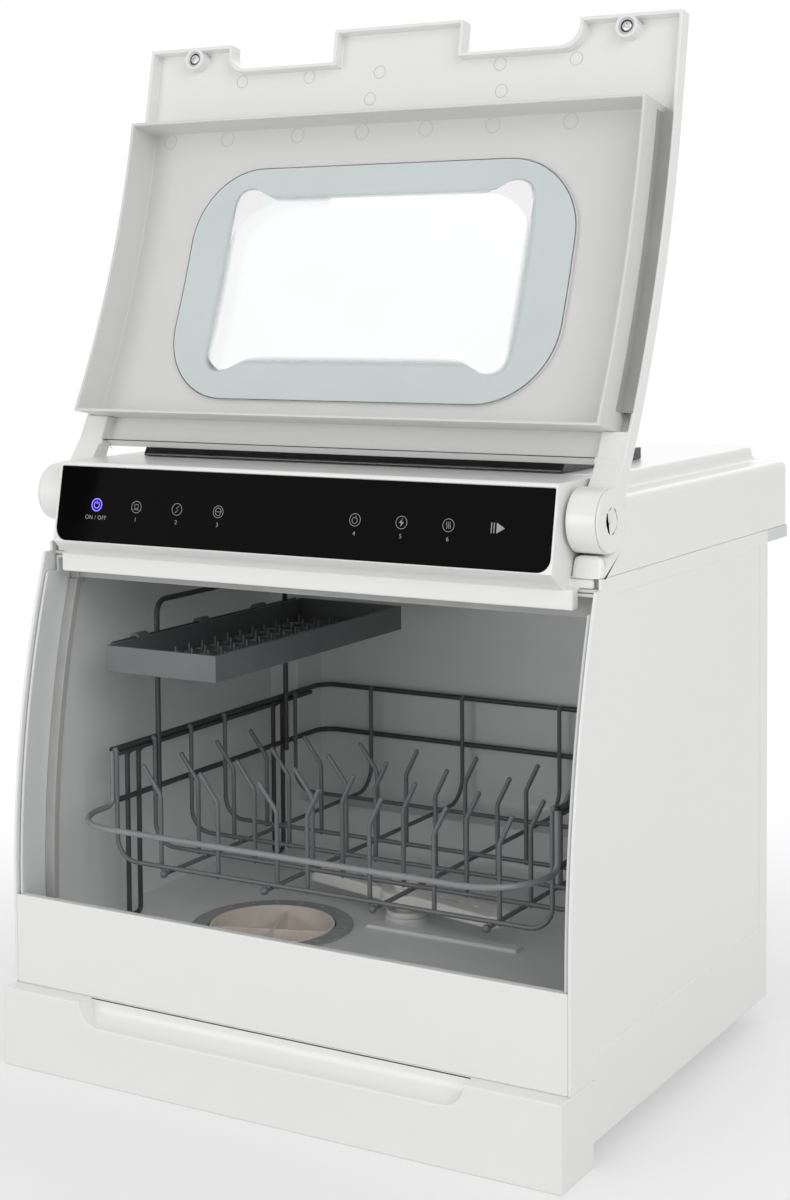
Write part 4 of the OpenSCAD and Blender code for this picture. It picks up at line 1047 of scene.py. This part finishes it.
@dataclass
class Cabinet:
    """Outer panels, plinth, back, feet and screws."""

    shapes: tuple[Shape, ...] = (
        ("base_plinth", SHELL_ABS, 1.2, 3),
        ("lower_front_panel", SHELL_ABS, 0.9, 2),
        ("side_panel_left", SHELL_ABS, 0.7, 2),
        ("side_panel_right", SHELL_ABS, 0.7, 2),
        ("top_cover", SHELL_ABS, 5.5, 5),
        ("top_frame", REAR_PP, 0.9, 2),
        ("rear_panel", REAR_PP, 0.9, 2),
    )
    screw: tuple[float, float, float, float] = (4.0, 1.78, 1.9, 8.0)
    screw_x: float = 198.0
    screw_zs: tuple[float, ...] = (30, 110, 220, 325)
    back_y: float = 328.0
    foot: tuple[float, float] = (165.0, 285.0)
    foam_size: tuple[float, float, float] = (18.6, 3.4, 6.8)
    foam_place: tuple[float, float, float] = (198.2, 52.0, 349.5)

    def build(self) -> None:
        """Makes every outer piece."""
        for shape in self.shapes:
            moulded(*shape)
        self.screws()
        self.feet()
        self.cheek_foam()

    def cheek_foam(self) -> None:
        """Foam strips that close the gaps beside the control housing."""
        form = bmesh.new()
        size = Matrix.Diagonal([side * MM for side in self.foam_size] + [1])
        for s in (-1, 1):
            x, y, z = self.foam_place
            place = Matrix.Translation(at(s * x, y, z))
            bmesh.ops.create_cube(form, size=1, matrix=place @ size)
        settle(closed_mesh(form, "cheek_foam_strips"), "cheek_foam_strips", "cabinet", WHITE_FOAM)

    def screws(self) -> None:
        """The back panel's screws."""
        spots = [(at(s * self.screw_x, self.back_y + 0.02, z), BACK, 1.0)
                 for s in (-1, 1) for z in self.screw_zs]
        repeated("rear_screw_heads", "cabinet", screw_head(*self.screw), spots, STAINLESS,
                 ["rear_screws"])

    def feet(self) -> None:
        """Turned rubber feet under the back."""
        profile = [(0, 0), (10.6, 0), (11.6, 0.5), (12, 1.4), (12, 5), (11.2, 5.6), (11.2, 6.6),
                   (12, 7.2), (12, 13.6), (11.4, 14.6), (10, 14.95), (0, 14.95)]
        spots = [(at(s * self.foot[0], self.foot[1], 0), UP, 1.0) for s in (-1, 1)]
        repeated("rear_foot_pads", "cabinet", turned(profile, 48), spots, BLACK_EPDM, ["rear_feet"])


@dataclass
class FillLid:
    """The smoked sliding lid over the filler."""

    shape: Shape = ("fill_lid", SMOKED_ACRYLIC, 0.7, 2)

    def build(self) -> None:
        """Makes the lid."""
        moulded(*self.shape)


@dataclass
class ControlPanel:
    """Housing, black glass and its key symbols."""

    shapes: tuple[Shape, ...] = (
        ("control_housing", SHELL_ABS, 1.3, 3),
        ("control_glass", PRINTED_GLASS, 0.5, 2),
    )
    key_us: tuple[float, ...] = (-153.6, -120.3, -87.0, -54.0, 50.0, 83.5, 116.5, 150.0)
    key_v: float = 25.0
    label_v: float = 15.2
    label_size: float = 4.0
    label_thick: float = 0.035
    label_thin: float = 0.03
    label_spacing: float = 1.08
    ring_r: float = 3.9
    line: float = 0.32
    proud: float = 0.05

    def build(self) -> None:
        """Makes the housing, the glass and what is printed on it."""
        for shape in self.shapes:
            moulded(*shape)
        self.power_key()
        self.symbols()
        self.labels()

    def relief(self) -> Relief:
        """An empty layer of ink on the glass."""
        return Relief(on_slope, -0.02, self.proud)

    def power_key(self) -> None:
        """The lit ring and mark of the power key."""
        ink, (u, v) = self.relief(), (self.key_us[0], self.key_v)
        ink.stroke(arc(u, v, 4.1), 0.6, True)
        ink.stroke(arc(u, v, 2.2, 125, 415), 0.5)
        ink.stroke([(u, v + 0.6), (u, v + 2.9)], 0.5)
        settle(ink.mesh("power_key_light"), "power_key_light", "cabinet", LIT_FILM)

    def symbols(self) -> None:
        """Plain line symbols for the other keys, and the start mark."""
        ink, v, r, w = self.relief(), self.key_v, self.ring_r, self.line
        for u in self.key_us[1:7]:
            ink.stroke(arc(u, v, r), w, True)
        u = self.key_us[1]  # a cup on a plate
        ink.stroke([(u - 1.5, v + 1.7), (u - 1.3, v - 0.9), (u + 1.3, v - 0.9), (u + 1.5, v + 1.7),
                    (u - 1.5, v + 1.7)], w)
        ink.stroke([(u - 2.1, v - 1.8), (u + 2.1, v - 1.8)], w)
        u = self.key_us[2]  # a quick hand
        ink.stroke([(u + 1.6, v + 2.4), (u - 0.9, v + 0.2), (u + 0.9, v - 0.2),
                    (u - 1.6, v - 2.4)], w)
        u = self.key_us[3]  # two bowls
        ink.stroke(arc(u, v + 0.2, 2.3, 0, 180, 16), w)
        ink.stroke([(u - 2.9, v), (u + 2.9, v)], w)
        ink.stroke(arc(u, v - 0.4, 2.1, 180, 360, 16), w)
        u = self.key_us[4]  # a fruit
        ink.stroke(arc(u - 0.2, v - 0.4, 1.9), w, True)
        ink.stroke([(u, v + 1.4), (u + 0.9, v + 2.6)], w)
        u = self.key_us[5]  # a spark
        ink.fill([(u + 0.7, v + 2.7), (u - 1.7, v - 0.3), (u - 0.1, v - 0.1), (u - 0.7, v - 2.7),
                  (u + 1.7, v + 0.4), (u + 0.1, v + 0.3)])
        u = self.key_us[6]  # warm air
        for shift in (-1.2, 0.0, 1.2):
            ink.stroke([(u + shift + 0.35 * math.sin(k * 1.05), v - 2.1 + k * 0.7)
                        for k in range(7)], w)
        u = self.key_us[7]  # start and pause
        ink.stroke([(u - 4.1, v - 3.2), (u - 4.1, v + 3.2)], 0.6)
        ink.stroke([(u - 2.3, v - 3.2), (u - 2.3, v + 3.2)], 0.6)
        ink.fill([(u - 0.6, v - 3.3), (u + 5.0, v), (u - 0.6, v + 3.3)])
        settle(ink.mesh("key_symbols"), "key_symbols", "cabinet", SYMBOL_INK)

    def labels(self) -> None:
        """ON and OFF under the power key, and a number under each other key."""
        words = ["ON / OFF"] + [str(i) for i in range(1, 7)]
        form = bmesh.new()
        for word, u in zip(words, self.key_us):
            text = bpy.data.curves.new("label", "FONT")
            text.body, text.size, text.align_x = word, self.label_size, "CENTER"
            text.extrude, text.offset = self.label_thick, -self.label_thin
            text.space_character = self.label_spacing
            flat = baked(linked(text, "label"))
            for vertex in flat.vertices:
                x, y, z = vertex.co
                vertex.co = on_slope(u + x, self.label_v + y, z + 0.02)
            form.from_mesh(flat)
            bpy.data.meshes.remove(flat)
        bmesh.ops.remove_doubles(form, verts=form.verts, dist=1e-7)
        settle(closed_mesh(form, "key_labels"), "key_labels", "cabinet", SYMBOL_INK)


@dataclass
class WashTub:
    """Tub, seal, filter and spray arm."""

    shapes: tuple[Shape, ...] = (
        ("tub", TUB_PP, 1.4, 3),
        ("tub_gasket", SEAL_EPDM, 0.8, 2),
        ("filter_plate", GREY_PP, 0.3, 2),
        ("filter_basket", FILTER_PP, 0.5, 2),
        ("spray_post", INNER_PP, 0.6, 2),
        ("spray_arm", INNER_PP, 1.8, 3),
        ("spray_arm_cap", INNER_PP, 1.4, 3),
    )
    seal_x: float = 197.6
    seal_off: float = 27.2
    seal_zs: tuple[float, ...] = tuple(range(110, 326, 12))
    bead: float = 0.9

    def build(self) -> None:
        """Makes what is seen inside the cabinet."""
        for shape in self.shapes:
            moulded(*shape)
        self.seal_beads()

    def seal_beads(self) -> None:
        """Round lips along the inner edge of the side seals."""
        runs = [Run(tuple((s * self.seal_x, front_y(z) + self.seal_off, z)
                          for z in self.seal_zs), bend=60) for s in (-1, 1)]
        wires("seal_lips", "cabinet", runs, self.bead, self.bead, SEAL_EPDM)


@dataclass
class DishRack:
    """Side runners, basket, tines and the cutlery tray with its frame."""

    half_w: float = 172.0
    wire: float = 2.0
    thin: float = 1.6
    rim_z: float = 206.0
    mid_z: float = 169.5
    loop_z: float = 167.0
    low_z: float = 129.0
    front: float = 62.0
    back: float = 338.0
    loop_y: float = 8.0
    long_z: float = 125.77
    tub_floor: float = 80.0
    rail_z: float = 202.15
    rail_r: float = 1.8
    cross_ys: tuple[float, ...] = (62, 106, 150, 193, 290)
    long_xs: tuple[float, ...] = (-125, -42, 42, 125)
    tine_xs: tuple[float, ...] = (-133, -85, -37, -13, 35, 83, 130)
    frame_x: float = -167.95
    frame_ys: tuple[float, float] = (110, 276)
    frame_top: float = 305.0
    fold_ys: tuple[float, float] = (60, 290)
    fold_z: float = 281.0
    runner_ys: tuple[float, float] = (70, 318)
    leg_ys: tuple[tuple[float, float], ...] = ((84, 97), (270, 283))
    leg_out: float = 4.2
    leg_drop: float = 3.2
    knee_up: float = 49.0
    tip_up: float = 18.0
    tip_leans: tuple[float, float] = (-14, 9)
    lean_split: float = -30.0
    pin_start: tuple[float, float, float] = (23, 69, 267.05)
    pin_pitch: tuple[float, float] = (14, 16)
    pin_count: tuple[int, int] = (5, 13)

    def build(self) -> None:
        """Makes every wire and the tray."""
        self.runners()
        self.basket()
        self.grid()
        self.tines()
        self.tray_frame()
        self.welds()
        moulded("cutlery_tray", TRAY_PP, 0.35, 2)
        self.tray_pins()

    def tray_pins(self) -> None:
        """Rows of small pins that keep the cutlery apart."""
        pin = turned([(1.1, -0.6), (1.0, 3.0), (0.8, 7.4), (0.4, 8.0), (0, 8.1)], 12)
        (x, y, z), (across, along) = self.pin_start, self.pin_pitch
        spots = [(at(self.frame_x + x + i * across, y + j * along, z), UP, 1.0)
                 for i in range(self.pin_count[0]) for j in range(self.pin_count[1])]
        repeated("cutlery_tray_pins", "tray", pin, spots, TRAY_PP)

    def runners(self) -> None:
        """Fixed wires that carry the rack's rim, on legs from the floor."""
        runs, low, high = [], self.tub_floor + self.rail_r, self.rail_z
        for s in (-1, 1):
            x, leg = s * self.half_w, s * (self.half_w + self.leg_out)
            runs.append(Run(tuple((x, y, high) for y in self.runner_ys)))
            for a, b in self.leg_ys:
                runs.append(Run(((x, a, high), (leg, a, high - self.leg_drop), (leg, a, low),
                                 (leg, b, low), (leg, b, high - self.leg_drop), (x, b, high)),
                                bend=4.5))
        wires("rack_runner_wires", "cabinet", runs, self.rail_r, self.rail_r, VINYL_DARK,
              ["rack_rails"])

    def basket(self) -> None:
        """Rim, mid wire and front loop."""
        w, f = self.half_w, self.front
        runs = [Run(((-w, y, z), (-w, self.back, z), (w, self.back, z), (w, y, z)), bend=14)
                for y, z in ((f, self.rim_z), (f + 4.5, self.mid_z))]
        wires("rack_basket_wires", "rack", runs, self.wire, self.wire + 0.1, VINYL_DARK,
              ["rack_frame"])
        # the front loop gets the paler dip: painted light on the front of the rack
        loop = Run(((-w, f, self.rim_z), (-w, f, self.loop_z), (-w, self.loop_y, self.loop_z),
                    (w, self.loop_y, self.loop_z), (w, f, self.loop_z), (w, f, self.rim_z)),
                   bends=(0, 7, 40, 40, 7, 0))
        wires("rack_loop_wire", "rack", [loop], self.wire, self.wire + 0.1, VINYL_LIT_FRONT)

    def grid(self) -> None:
        """Thin wires across and along the rack's floor, and their coated tips."""
        w = self.half_w - self.wire - self.thin - 0.03
        runs = [Run(((-w, y, self.rim_z), (-w, y, self.low_z), (w, y, self.low_z),
                     (w, y, self.rim_z)), bend=16) for y in self.cross_ys]
        back = self.back - self.wire - self.thin - 0.03
        runs += [Run(((x, self.front - 5, self.long_z), (x, back, self.long_z),
                      (x, back, self.rim_z)), bend=20) for x in self.long_xs]
        wires("rack_grid_wires", "rack", runs, self.thin, self.thin, VINYL_GREY, ["rack_bottom"])
        tip = turned([(0, -2.8), (1.6, -2.4), (2.5, -1.3), (2.8, 0), (2.5, 1.3), (1.7, 2.4),
                      (1.6, 4.2), (0, 4.4)], 20)
        spots = [(at(x, self.front - 5, self.long_z), BACK, 1.0) for x in self.long_xs]
        repeated("rack_wire_tips", "rack", tip, spots, VINYL_GREY)

    def tines(self) -> None:
        """Four rows of plate tines, each leaning near its top."""
        runs, (left, right), knee = [], self.tip_leans, self.low_z + self.knee_up
        for row in self.cross_ys[:4]:
            y = row + 2 * self.thin + 0.05
            for x in self.tine_xs:
                lean = left if x < self.lean_split else right
                runs.append(Run(((x, y, self.long_z + self.thin), (x, y, knee),
                                 (x + lean, y, knee + self.tip_up)), bend=9))
        wires("rack_tine_wires", "rack", runs, self.thin, self.thin + 0.15, VINYL_GREY,
              ["rack_tines"])

    def tray_frame(self) -> None:
        """Tall frame that holds the tray, and the wire that it folds on."""
        x, (a, b), foot, top = self.frame_x, self.frame_ys, self.mid_z - 4, self.frame_top
        runs = [Run(((x, a, foot), (x, a, top), (x, b, top), (x, b, foot)), bend=10),
                Run(tuple((x, y, self.fold_z) for y in self.fold_ys))]
        wires("tray_frame_wires", "rack", runs, self.wire, self.wire + 0.1, VINYL_DARK,
              ["tray_frame"])

    def welds(self) -> None:
        """Small blobs of coating where the wires cross."""
        blob = turned([(0, -2.3), (1.5, -1.9), (2.3, 0), (1.5, 1.9), (0, 2.3)], 14)
        w = self.half_w - self.wire - 0.6
        spots = [(at(s * w, y, z), UP, 1.0)
                 for s in (-1, 1) for y in self.cross_ys for z in (self.rim_z, self.mid_z)
                 if y > self.front or z == self.rim_z]
        spots += [(at(x, self.back - self.wire - 0.6, z), UP, 1.0)
                  for x in self.long_xs for z in (self.rim_z, self.mid_z)]
        spots += [(at(x, y, self.long_z + 1.3), UP, 0.85)
                  for x in self.long_xs for y in self.cross_ys]
        repeated("rack_weld_blobs", "rack", blob, spots, VINYL_GREY)


@dataclass
class Door:
    """Shell, liner, window with its print, catches and barrel caps."""

    shapes: tuple[Shape, ...] = (
        ("door_shell", SHELL_ABS, 0.8, 2),
        ("door_liner", LINER_ABS, 0.8, 2),
        ("door_window", CLEAR_PC, 0.3, 2),
        ("outer_pane", CLEAR_PC, 0.4, 2),
        ("barrel_caps", SHELL_ABS, 0.9, 2),
    )
    window: tuple[float, float, float, float, float] = (-151, 151, 148, 316, 54)
    clear_half_w: float = 117.0
    clear_mid: float = 229.3
    clear_half_h: float = 57.8
    lobe: float = 8.2
    # sizes and lift of the white sheets that paint light behind the window's lobes
    prints: tuple[tuple[float, float], ...] = ((46, 36), (38, 30))
    print_lift: tuple[float, float] = (1.5, 1.53)
    frit_lift: tuple[float, float] = (1.5, 1.56)
    frit_steps: int = 400
    frit_shares: tuple[float, ...] = (0, 0.3, 0.6, 0.86, 0.92, 0.96, 1.0, 1.05, 1.1)
    frit_inset: float = 0.8
    mark_xs: tuple[float, ...] = (-184.5, -134.0, -74.4, -21.7, 28.8, 80.0, 137.0)
    mark_z: float = 124.4
    strip_xs: tuple[float, ...] = (-132.2, -74.9, -16.9, 77.0, 133.3)
    catch: tuple[float, float] = (171.0, 63.0)
    catch_screw: tuple[float, float, float, float] = (3.4, 1.3, 2.3, 7.0)
    # places of the grey strips that paint shade in the channel between liner and shell
    seal_xs: tuple[float, float] = (200.52, 208.6)
    seal_offs: tuple[float, float] = (-0.9, 6.5)
    seal_zs: tuple[float, float] = (122.0, 318.0)

    def build(self) -> None:
        """Makes the whole door."""
        for shape in self.shapes:
            moulded(*shape)
        self.ground_edge(bpy.data.objects["door_window_moulded"])
        self.frit_print()
        self.corner_prints()
        self.wiper_seals()
        self.ejector_marks()
        self.catches()

    def lobe_rim(self) -> Outline:
        """Rim of the upper right lobe, from the middle of the window."""
        w, h, b = self.clear_half_w, self.clear_half_h, self.lobe
        return [(w, h - 2), (w - 3, h + b - 3), (w - 9, h + b), (w - 17, h + b),
                (w - 24, h + b - 3.5), (w - 30, h + 1.2)]

    def clear_outline(self) -> Outline:
        """The see-through middle, with a lobe at each corner."""
        w, h = self.clear_half_w, self.clear_half_h
        quarter = [(w, 0), (w, h - 14), *self.lobe_rim(), (w - 37, h), (0, h)]
        made = list(quarter)
        made += [(-x, y) for x, y in reversed(quarter[:-1])]
        made += [(-x, -y) for x, y in quarter[1:]]
        made += [(x, -y) for x, y in reversed(quarter[1:-1])]
        return softened([(x, y + self.clear_mid) for x, y in made], 2)

    def frit_print(self) -> None:
        """Printed border of the window, which fades out along its inner edge."""
        x0, x1, z0, z1, r = self.window
        centre, count = (0.0, self.clear_mid), self.frit_steps
        e, shares = self.frit_inset, self.frit_shares
        outer = sampled(rounded_box(x0 + e, x1 - e, z0 + e, z1 - e, r - e), centre, count)
        inner = sampled(self.clear_outline(), centre, count)
        rows = [[(a[0] + (b[0] - a[0]) * t, a[1] + (b[1] - a[1]) * t) for a, b in zip(outer, inner)]
                for t in shares]
        layer = Relief(on_door, *self.frit_lift)
        layer.sheet(rows, True)
        mesh = layer.mesh("window_frit_print")
        cover = mesh.attributes.new("cover", "FLOAT", "POINT")
        fades = [1.0 if t < 0.9 else max(0.0, (1.1 - t) / 0.2) ** 1.3 for t in shares]
        cover.data.foreach_set("value", [f for _ in range(2) for f in fades for _ in range(count)])
        settle(mesh, "window_frit_print", "door", FRIT)

    def corner_prints(self) -> None:
        """White sheets behind the two lobes, painted light where the shell would show through."""
        w, h, mid = self.clear_half_w, self.clear_half_h, self.clear_mid
        rim = [(w + 0.4, h - 34), (w + 0.4, h - 14), *self.lobe_rim(), (w - 46, h + 0.4)]
        layer = Relief(on_door, *self.print_lift)
        for s, (wide, tall) in zip((-1, 1), self.prints):
            far = [(s * x, mid - y) for x, y in rim]
            turns = [math.radians(90 * k / 8) for k in range(9)]
            near = [(s * (w - wide + wide * math.cos(t)), mid - (h - tall + tall * math.sin(t)))
                    for t in turns]
            layer.sheet([far, near] if s < 0 else [near, far], False)
        settle(layer.mesh("window_corner_prints"), "window_corner_prints", "door", WHITE_PAINTED_LIGHT)

    def ground_edge(self, pane: Object) -> None:
        """Gives the faces round a pane's edge their ground look."""
        pane.data.materials.append(GROUND_EDGE.material())
        facing = outward(on_door, 0, self.clear_mid)
        for face in pane.data.polygons:
            if abs(face.normal.dot(facing)) < EDGE_FACING:
                face.material_index = 1

    def wiper_seals(self) -> None:
        """Thin grey strips on the outside of the liner's side walls, painted shade for the dark
        channel there.
        """
        zs = [self.seal_zs[0] + (self.seal_zs[1] - self.seal_zs[0]) * k / 40 for k in range(41)]
        form, (near, far), (low, high) = bmesh.new(), self.seal_xs, self.seal_offs
        profile = ((near, low), (far, low), (far, low + 0.5), (near + 0.5, low + 0.5),
                   (near + 0.5, high), (near, high))
        for s in (-1, 1):
            rows = [[form.verts.new(on_door(s * x, z, off)) for x, off in profile] for z in zs]
            join_rings(form, rows, capped=True)
        settle(closed_mesh(form, "liner_wiper_seals"), "liner_wiper_seals", "door", PAINTED_SHADE_STRIP)

    def ejector_marks(self) -> None:
        """Faint rings that the mould's ejector pins leave, coloured darker as painted shade."""
        mark = turned([(4.9, -0.2), (5.0, 0.12), (5.25, 0.18), (5.5, 0.12), (5.6, -0.2)], 40)
        spots = [(on_door(x, self.mark_z, -1.5), outward(on_door, x, self.mark_z), 1.0)
                 for x in self.mark_xs]
        repeated("liner_ejector_marks", "door", mark, spots, MARK_ABS)
        spots = [(on_door(x, z, -10.0), outward(on_door, x, z), 0.85)
                 for x, z in [(x, 80.0) for x in self.strip_xs] + [(-23.0, 98.6), (79.5, 98.8)]]
        repeated("shell_ejector_marks", "door", mark, spots, MARK_ABS)

    def catches(self) -> None:
        """Steel ring and screw in each catch boss."""
        x, z = self.catch
        head = screw_head(*self.catch_screw)
        ring = turned([(4.2, -0.2), (4.2, 0.9), (4.5, 1.3), (5.2, 1.3), (5.4, 0.9),
                       (5.4, -0.2)], 40)
        facing = outward(on_door, 0, 60)
        spots = [(on_door(s * x, z, -3.38), facing, 1.0) for s in (-1, 1)]
        repeated("door_catch_screw_heads", "door", head, spots, STAINLESS, ["door_catch_screws"])
        repeated("door_catch_rings", "door", ring, spots, STAINLESS)
        gap = turned([(3.45, -0.2), (3.5, 0.35), (4.15, 0.35), (4.2, -0.2)], 40)
        repeated("door_catch_washers", "door", gap, spots, BLACK_PP)


@dataclass
class Machinery:
    """Everything behind the panels, which keeps its CAD shape."""

    finishes: tuple[tuple[Finish | BoardFinish, tuple[str, ...]], ...] = (
        (BOARD, ("control_board", "power_board")),
        (STAINLESS, ("touch_springs", "hinge_pins", "hinge_springs")),
        (INNER_PP, ("fill_funnel", "water_tank", "level_stem", "inlet_valve")),
        (ORANGE_PP, ("level_float", "wash_impeller", "drain_impeller")),
        (MOTOR_STEEL, ("wash_motor", "drain_motor", "flow_heater")),
        (BLACK_PP, ("wash_pump_housing", "drain_pump", "fan_housing", "fan_wheel", "power_inlet",
                    "catch_magnets")),
        (GREY_PP, ("sump", "drain_spigot", "board_tray")),
        (BLACK_EPDM, ("motor_cradle", "pump_sleeve", "drain_hose", "fill_hose", "feed_hose")),
    )

    def build(self) -> None:
        """Dresses the hidden nodes."""
        for finish, names in self.finishes:
            for name in names:
                dress(name, finish)


# ---- the studio ------------------------------------------------------------


@dataclass
class Studio:
    """Pale floor, soft lamps, white surroundings and the camera."""

    sensor_mm: float = 36.0
    floor_radius: float = 14.0
    fade: tuple[float, float, float] = (0.2, 0.75, 0.35)  # where it starts, ends, and from what
    aim: tuple[float, float, float] = (0, 0, 0.35)
    focal_px: float = 2050.82
    long_px: float = 1200.0
    centre_px: tuple[float, float] = (395.08, 411.71)
    eye: tuple[float, float, float] = (714.0, -1059.62, 524.55)
    yaw: float = 30.30
    pitch: float = 3.38
    roll: float = -0.43
    sky: float = 0.56
    lamps: tuple[tuple[tuple[float, float, float], float, float], ...] = (
        ((2.2, -1.7, 1.7), 1.8, 23.0),
        ((-1.3, -2.7, 0.6), 1.5, 17.0),
        ((0.2, 0.6, 3.0), 2.2, 6.0),
        ((-0.6, 2.4, 1.6), 2.0, 8.0),
    )

    def build(self) -> None:
        """Sets up the floor, light and camera."""
        scene = bpy.context.scene
        scene.view_settings.view_transform = "Standard"
        self.floor()
        self.surroundings()
        for i, (place, size, power) in enumerate(self.lamps):
            self.lamp(f"soft_lamp_{i}", Vector(place), size, power)
        self.camera()

    def floor(self) -> None:
        """Wide pale floor that fades into the white surroundings."""
        form = bmesh.new()
        bmesh.ops.create_circle(form, cap_ends=True, radius=self.floor_radius, segments=96)
        mesh = bpy.data.meshes.new("studio_floor")
        form.to_mesh(mesh)
        form.free()
        plane = linked(mesh, "studio_floor")
        made, tree, where = new_material("pale_painted_floor")
        grain = add_node(tree, "ShaderNodeTexNoise", {"Vector": where}, {"Scale": 18.0})
        tint = add_node(tree, "ShaderNodeMix", {0: grain.outputs["Fac"]},
                        {6: linear("#f5f5f5"), 7: linear("#f2f2f2")}, data_type="RGBA")
        paint = add_node(tree, "ShaderNodeBsdfDiffuse", {"Color": tint.outputs[2]})
        near, end, start = self.fade
        far = add_node(tree, "ShaderNodeVectorMath", {0: where}, operation="LENGTH")
        fade = add_node(tree, "ShaderNodeMapRange", {"Value": far.outputs["Value"]},
                        {"From Min": near, "From Max": end, "To Min": start},
                        interpolation_type="SMOOTHSTEP")
        seen = self.seen(tree)
        share = add_node(tree, "ShaderNodeMath", {0: fade.outputs["Result"], 1: seen},
                         operation="MULTIPLY")
        white = add_node(tree, "ShaderNodeEmission", None, {"Color": (1, 1, 1, 1), "Strength": 1.0})
        mixed = add_node(tree, "ShaderNodeMixShader",
                         {0: share.outputs[0], 1: paint.outputs[0], 2: white.outputs[0]})
        add_node(tree, "ShaderNodeOutputMaterial", {"Surface": mixed.outputs[0]})
        mesh.materials.append(made)

    @staticmethod
    def seen(tree: NodeTree) -> NodeSocket:
        """Finds the rays that show the surroundings: camera, glossy and transmission.

        Args:
            tree: The tree.

        Returns:
            The socket that is 1 for such rays.
        """
        rays = add_node(tree, "ShaderNodeLightPath")
        some = add_node(tree, "ShaderNodeMath",
                        {0: rays.outputs["Is Camera Ray"], 1: rays.outputs["Is Glossy Ray"]},
                        operation="MAXIMUM")
        return add_node(tree, "ShaderNodeMath", {0: some.outputs[0],
                                                 1: rays.outputs["Is Transmission Ray"]},
                        operation="MAXIMUM").outputs[0]

    def surroundings(self) -> None:
        """World: a plain sky for light, white where it is seen."""
        world = bpy.data.worlds.new("white_studio")
        bpy.context.scene.world = world
        world.use_nodes = True
        tree = world.node_tree
        tree.nodes.clear()
        seen = self.seen(tree)
        light = add_node(tree, "ShaderNodeBackground", None,
                         {"Color": (1, 1, 1, 1), "Strength": self.sky})
        white = add_node(tree, "ShaderNodeBackground", None,
                         {"Color": (1, 1, 1, 1), "Strength": 1.0})
        mixed = add_node(tree, "ShaderNodeMixShader",
                         {0: seen, 1: light.outputs[0], 2: white.outputs[0]})
        add_node(tree, "ShaderNodeOutputWorld", {"Surface": mixed.outputs[0]})

    def lamp(self, name: str, place: Vector, size: float, power: float) -> None:
        """One soft square lamp aimed at the middle of the object.

        Args:
            name: The lamp's name.
            place: Where it stands, in metres.
            size: Its side in metres.
            power: Its power in watts.
        """
        data = bpy.data.lights.new(name, "AREA")
        data.shape, data.size, data.energy = "SQUARE", size, power
        made = linked(data, name)
        made.location = place
        made.rotation_euler = (Vector(self.aim) - place).to_track_quat("-Z", "Y").to_euler()

    def camera(self) -> None:
        """Camera at the product's usual three-quarter view."""
        data = bpy.data.cameras.new("camera")
        data.sensor_fit, data.sensor_width = "AUTO", self.sensor_mm
        data.lens = self.focal_px / self.long_px * self.sensor_mm
        data.shift_y = (self.centre_px[1] - self.long_px / 2) / self.long_px
        data.clip_start, data.clip_end = 0.05, 100.0
        made = linked(data, "camera")
        yaw, pitch, roll = (math.radians(a) for a in (self.yaw, self.pitch, self.roll))
        ahead = Vector((-math.sin(yaw) * math.cos(pitch), math.cos(yaw) * math.cos(pitch),
                        -math.sin(pitch)))
        level = Vector((math.cos(yaw), math.sin(yaw), 0))
        up = level.cross(ahead)
        right = math.cos(roll) * level + math.sin(roll) * up
        top = -math.sin(roll) * level + math.cos(roll) * up
        turn = Matrix((right, top, -ahead)).transposed().to_4x4()
        made.matrix_world = Matrix.Translation(at(*self.eye)) @ turn
        bpy.context.scene.camera = made


def corners(box: tuple[Vector, Vector]) -> list[list[float]]:
    """A box as plain lists."""
    return [[float(c) for c in corner] for corner in box]


def main() -> None:
    """Builds every sub-assembly in order."""
    logging.basicConfig(level=logging.INFO, format="%(name)s: %(message)s")
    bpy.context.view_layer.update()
    for made in (Cabinet, FillLid, ControlPanel, WashTub, DishRack, Door, Machinery, Studio):
        made().build()


if __name__ == "__main__":
    main()
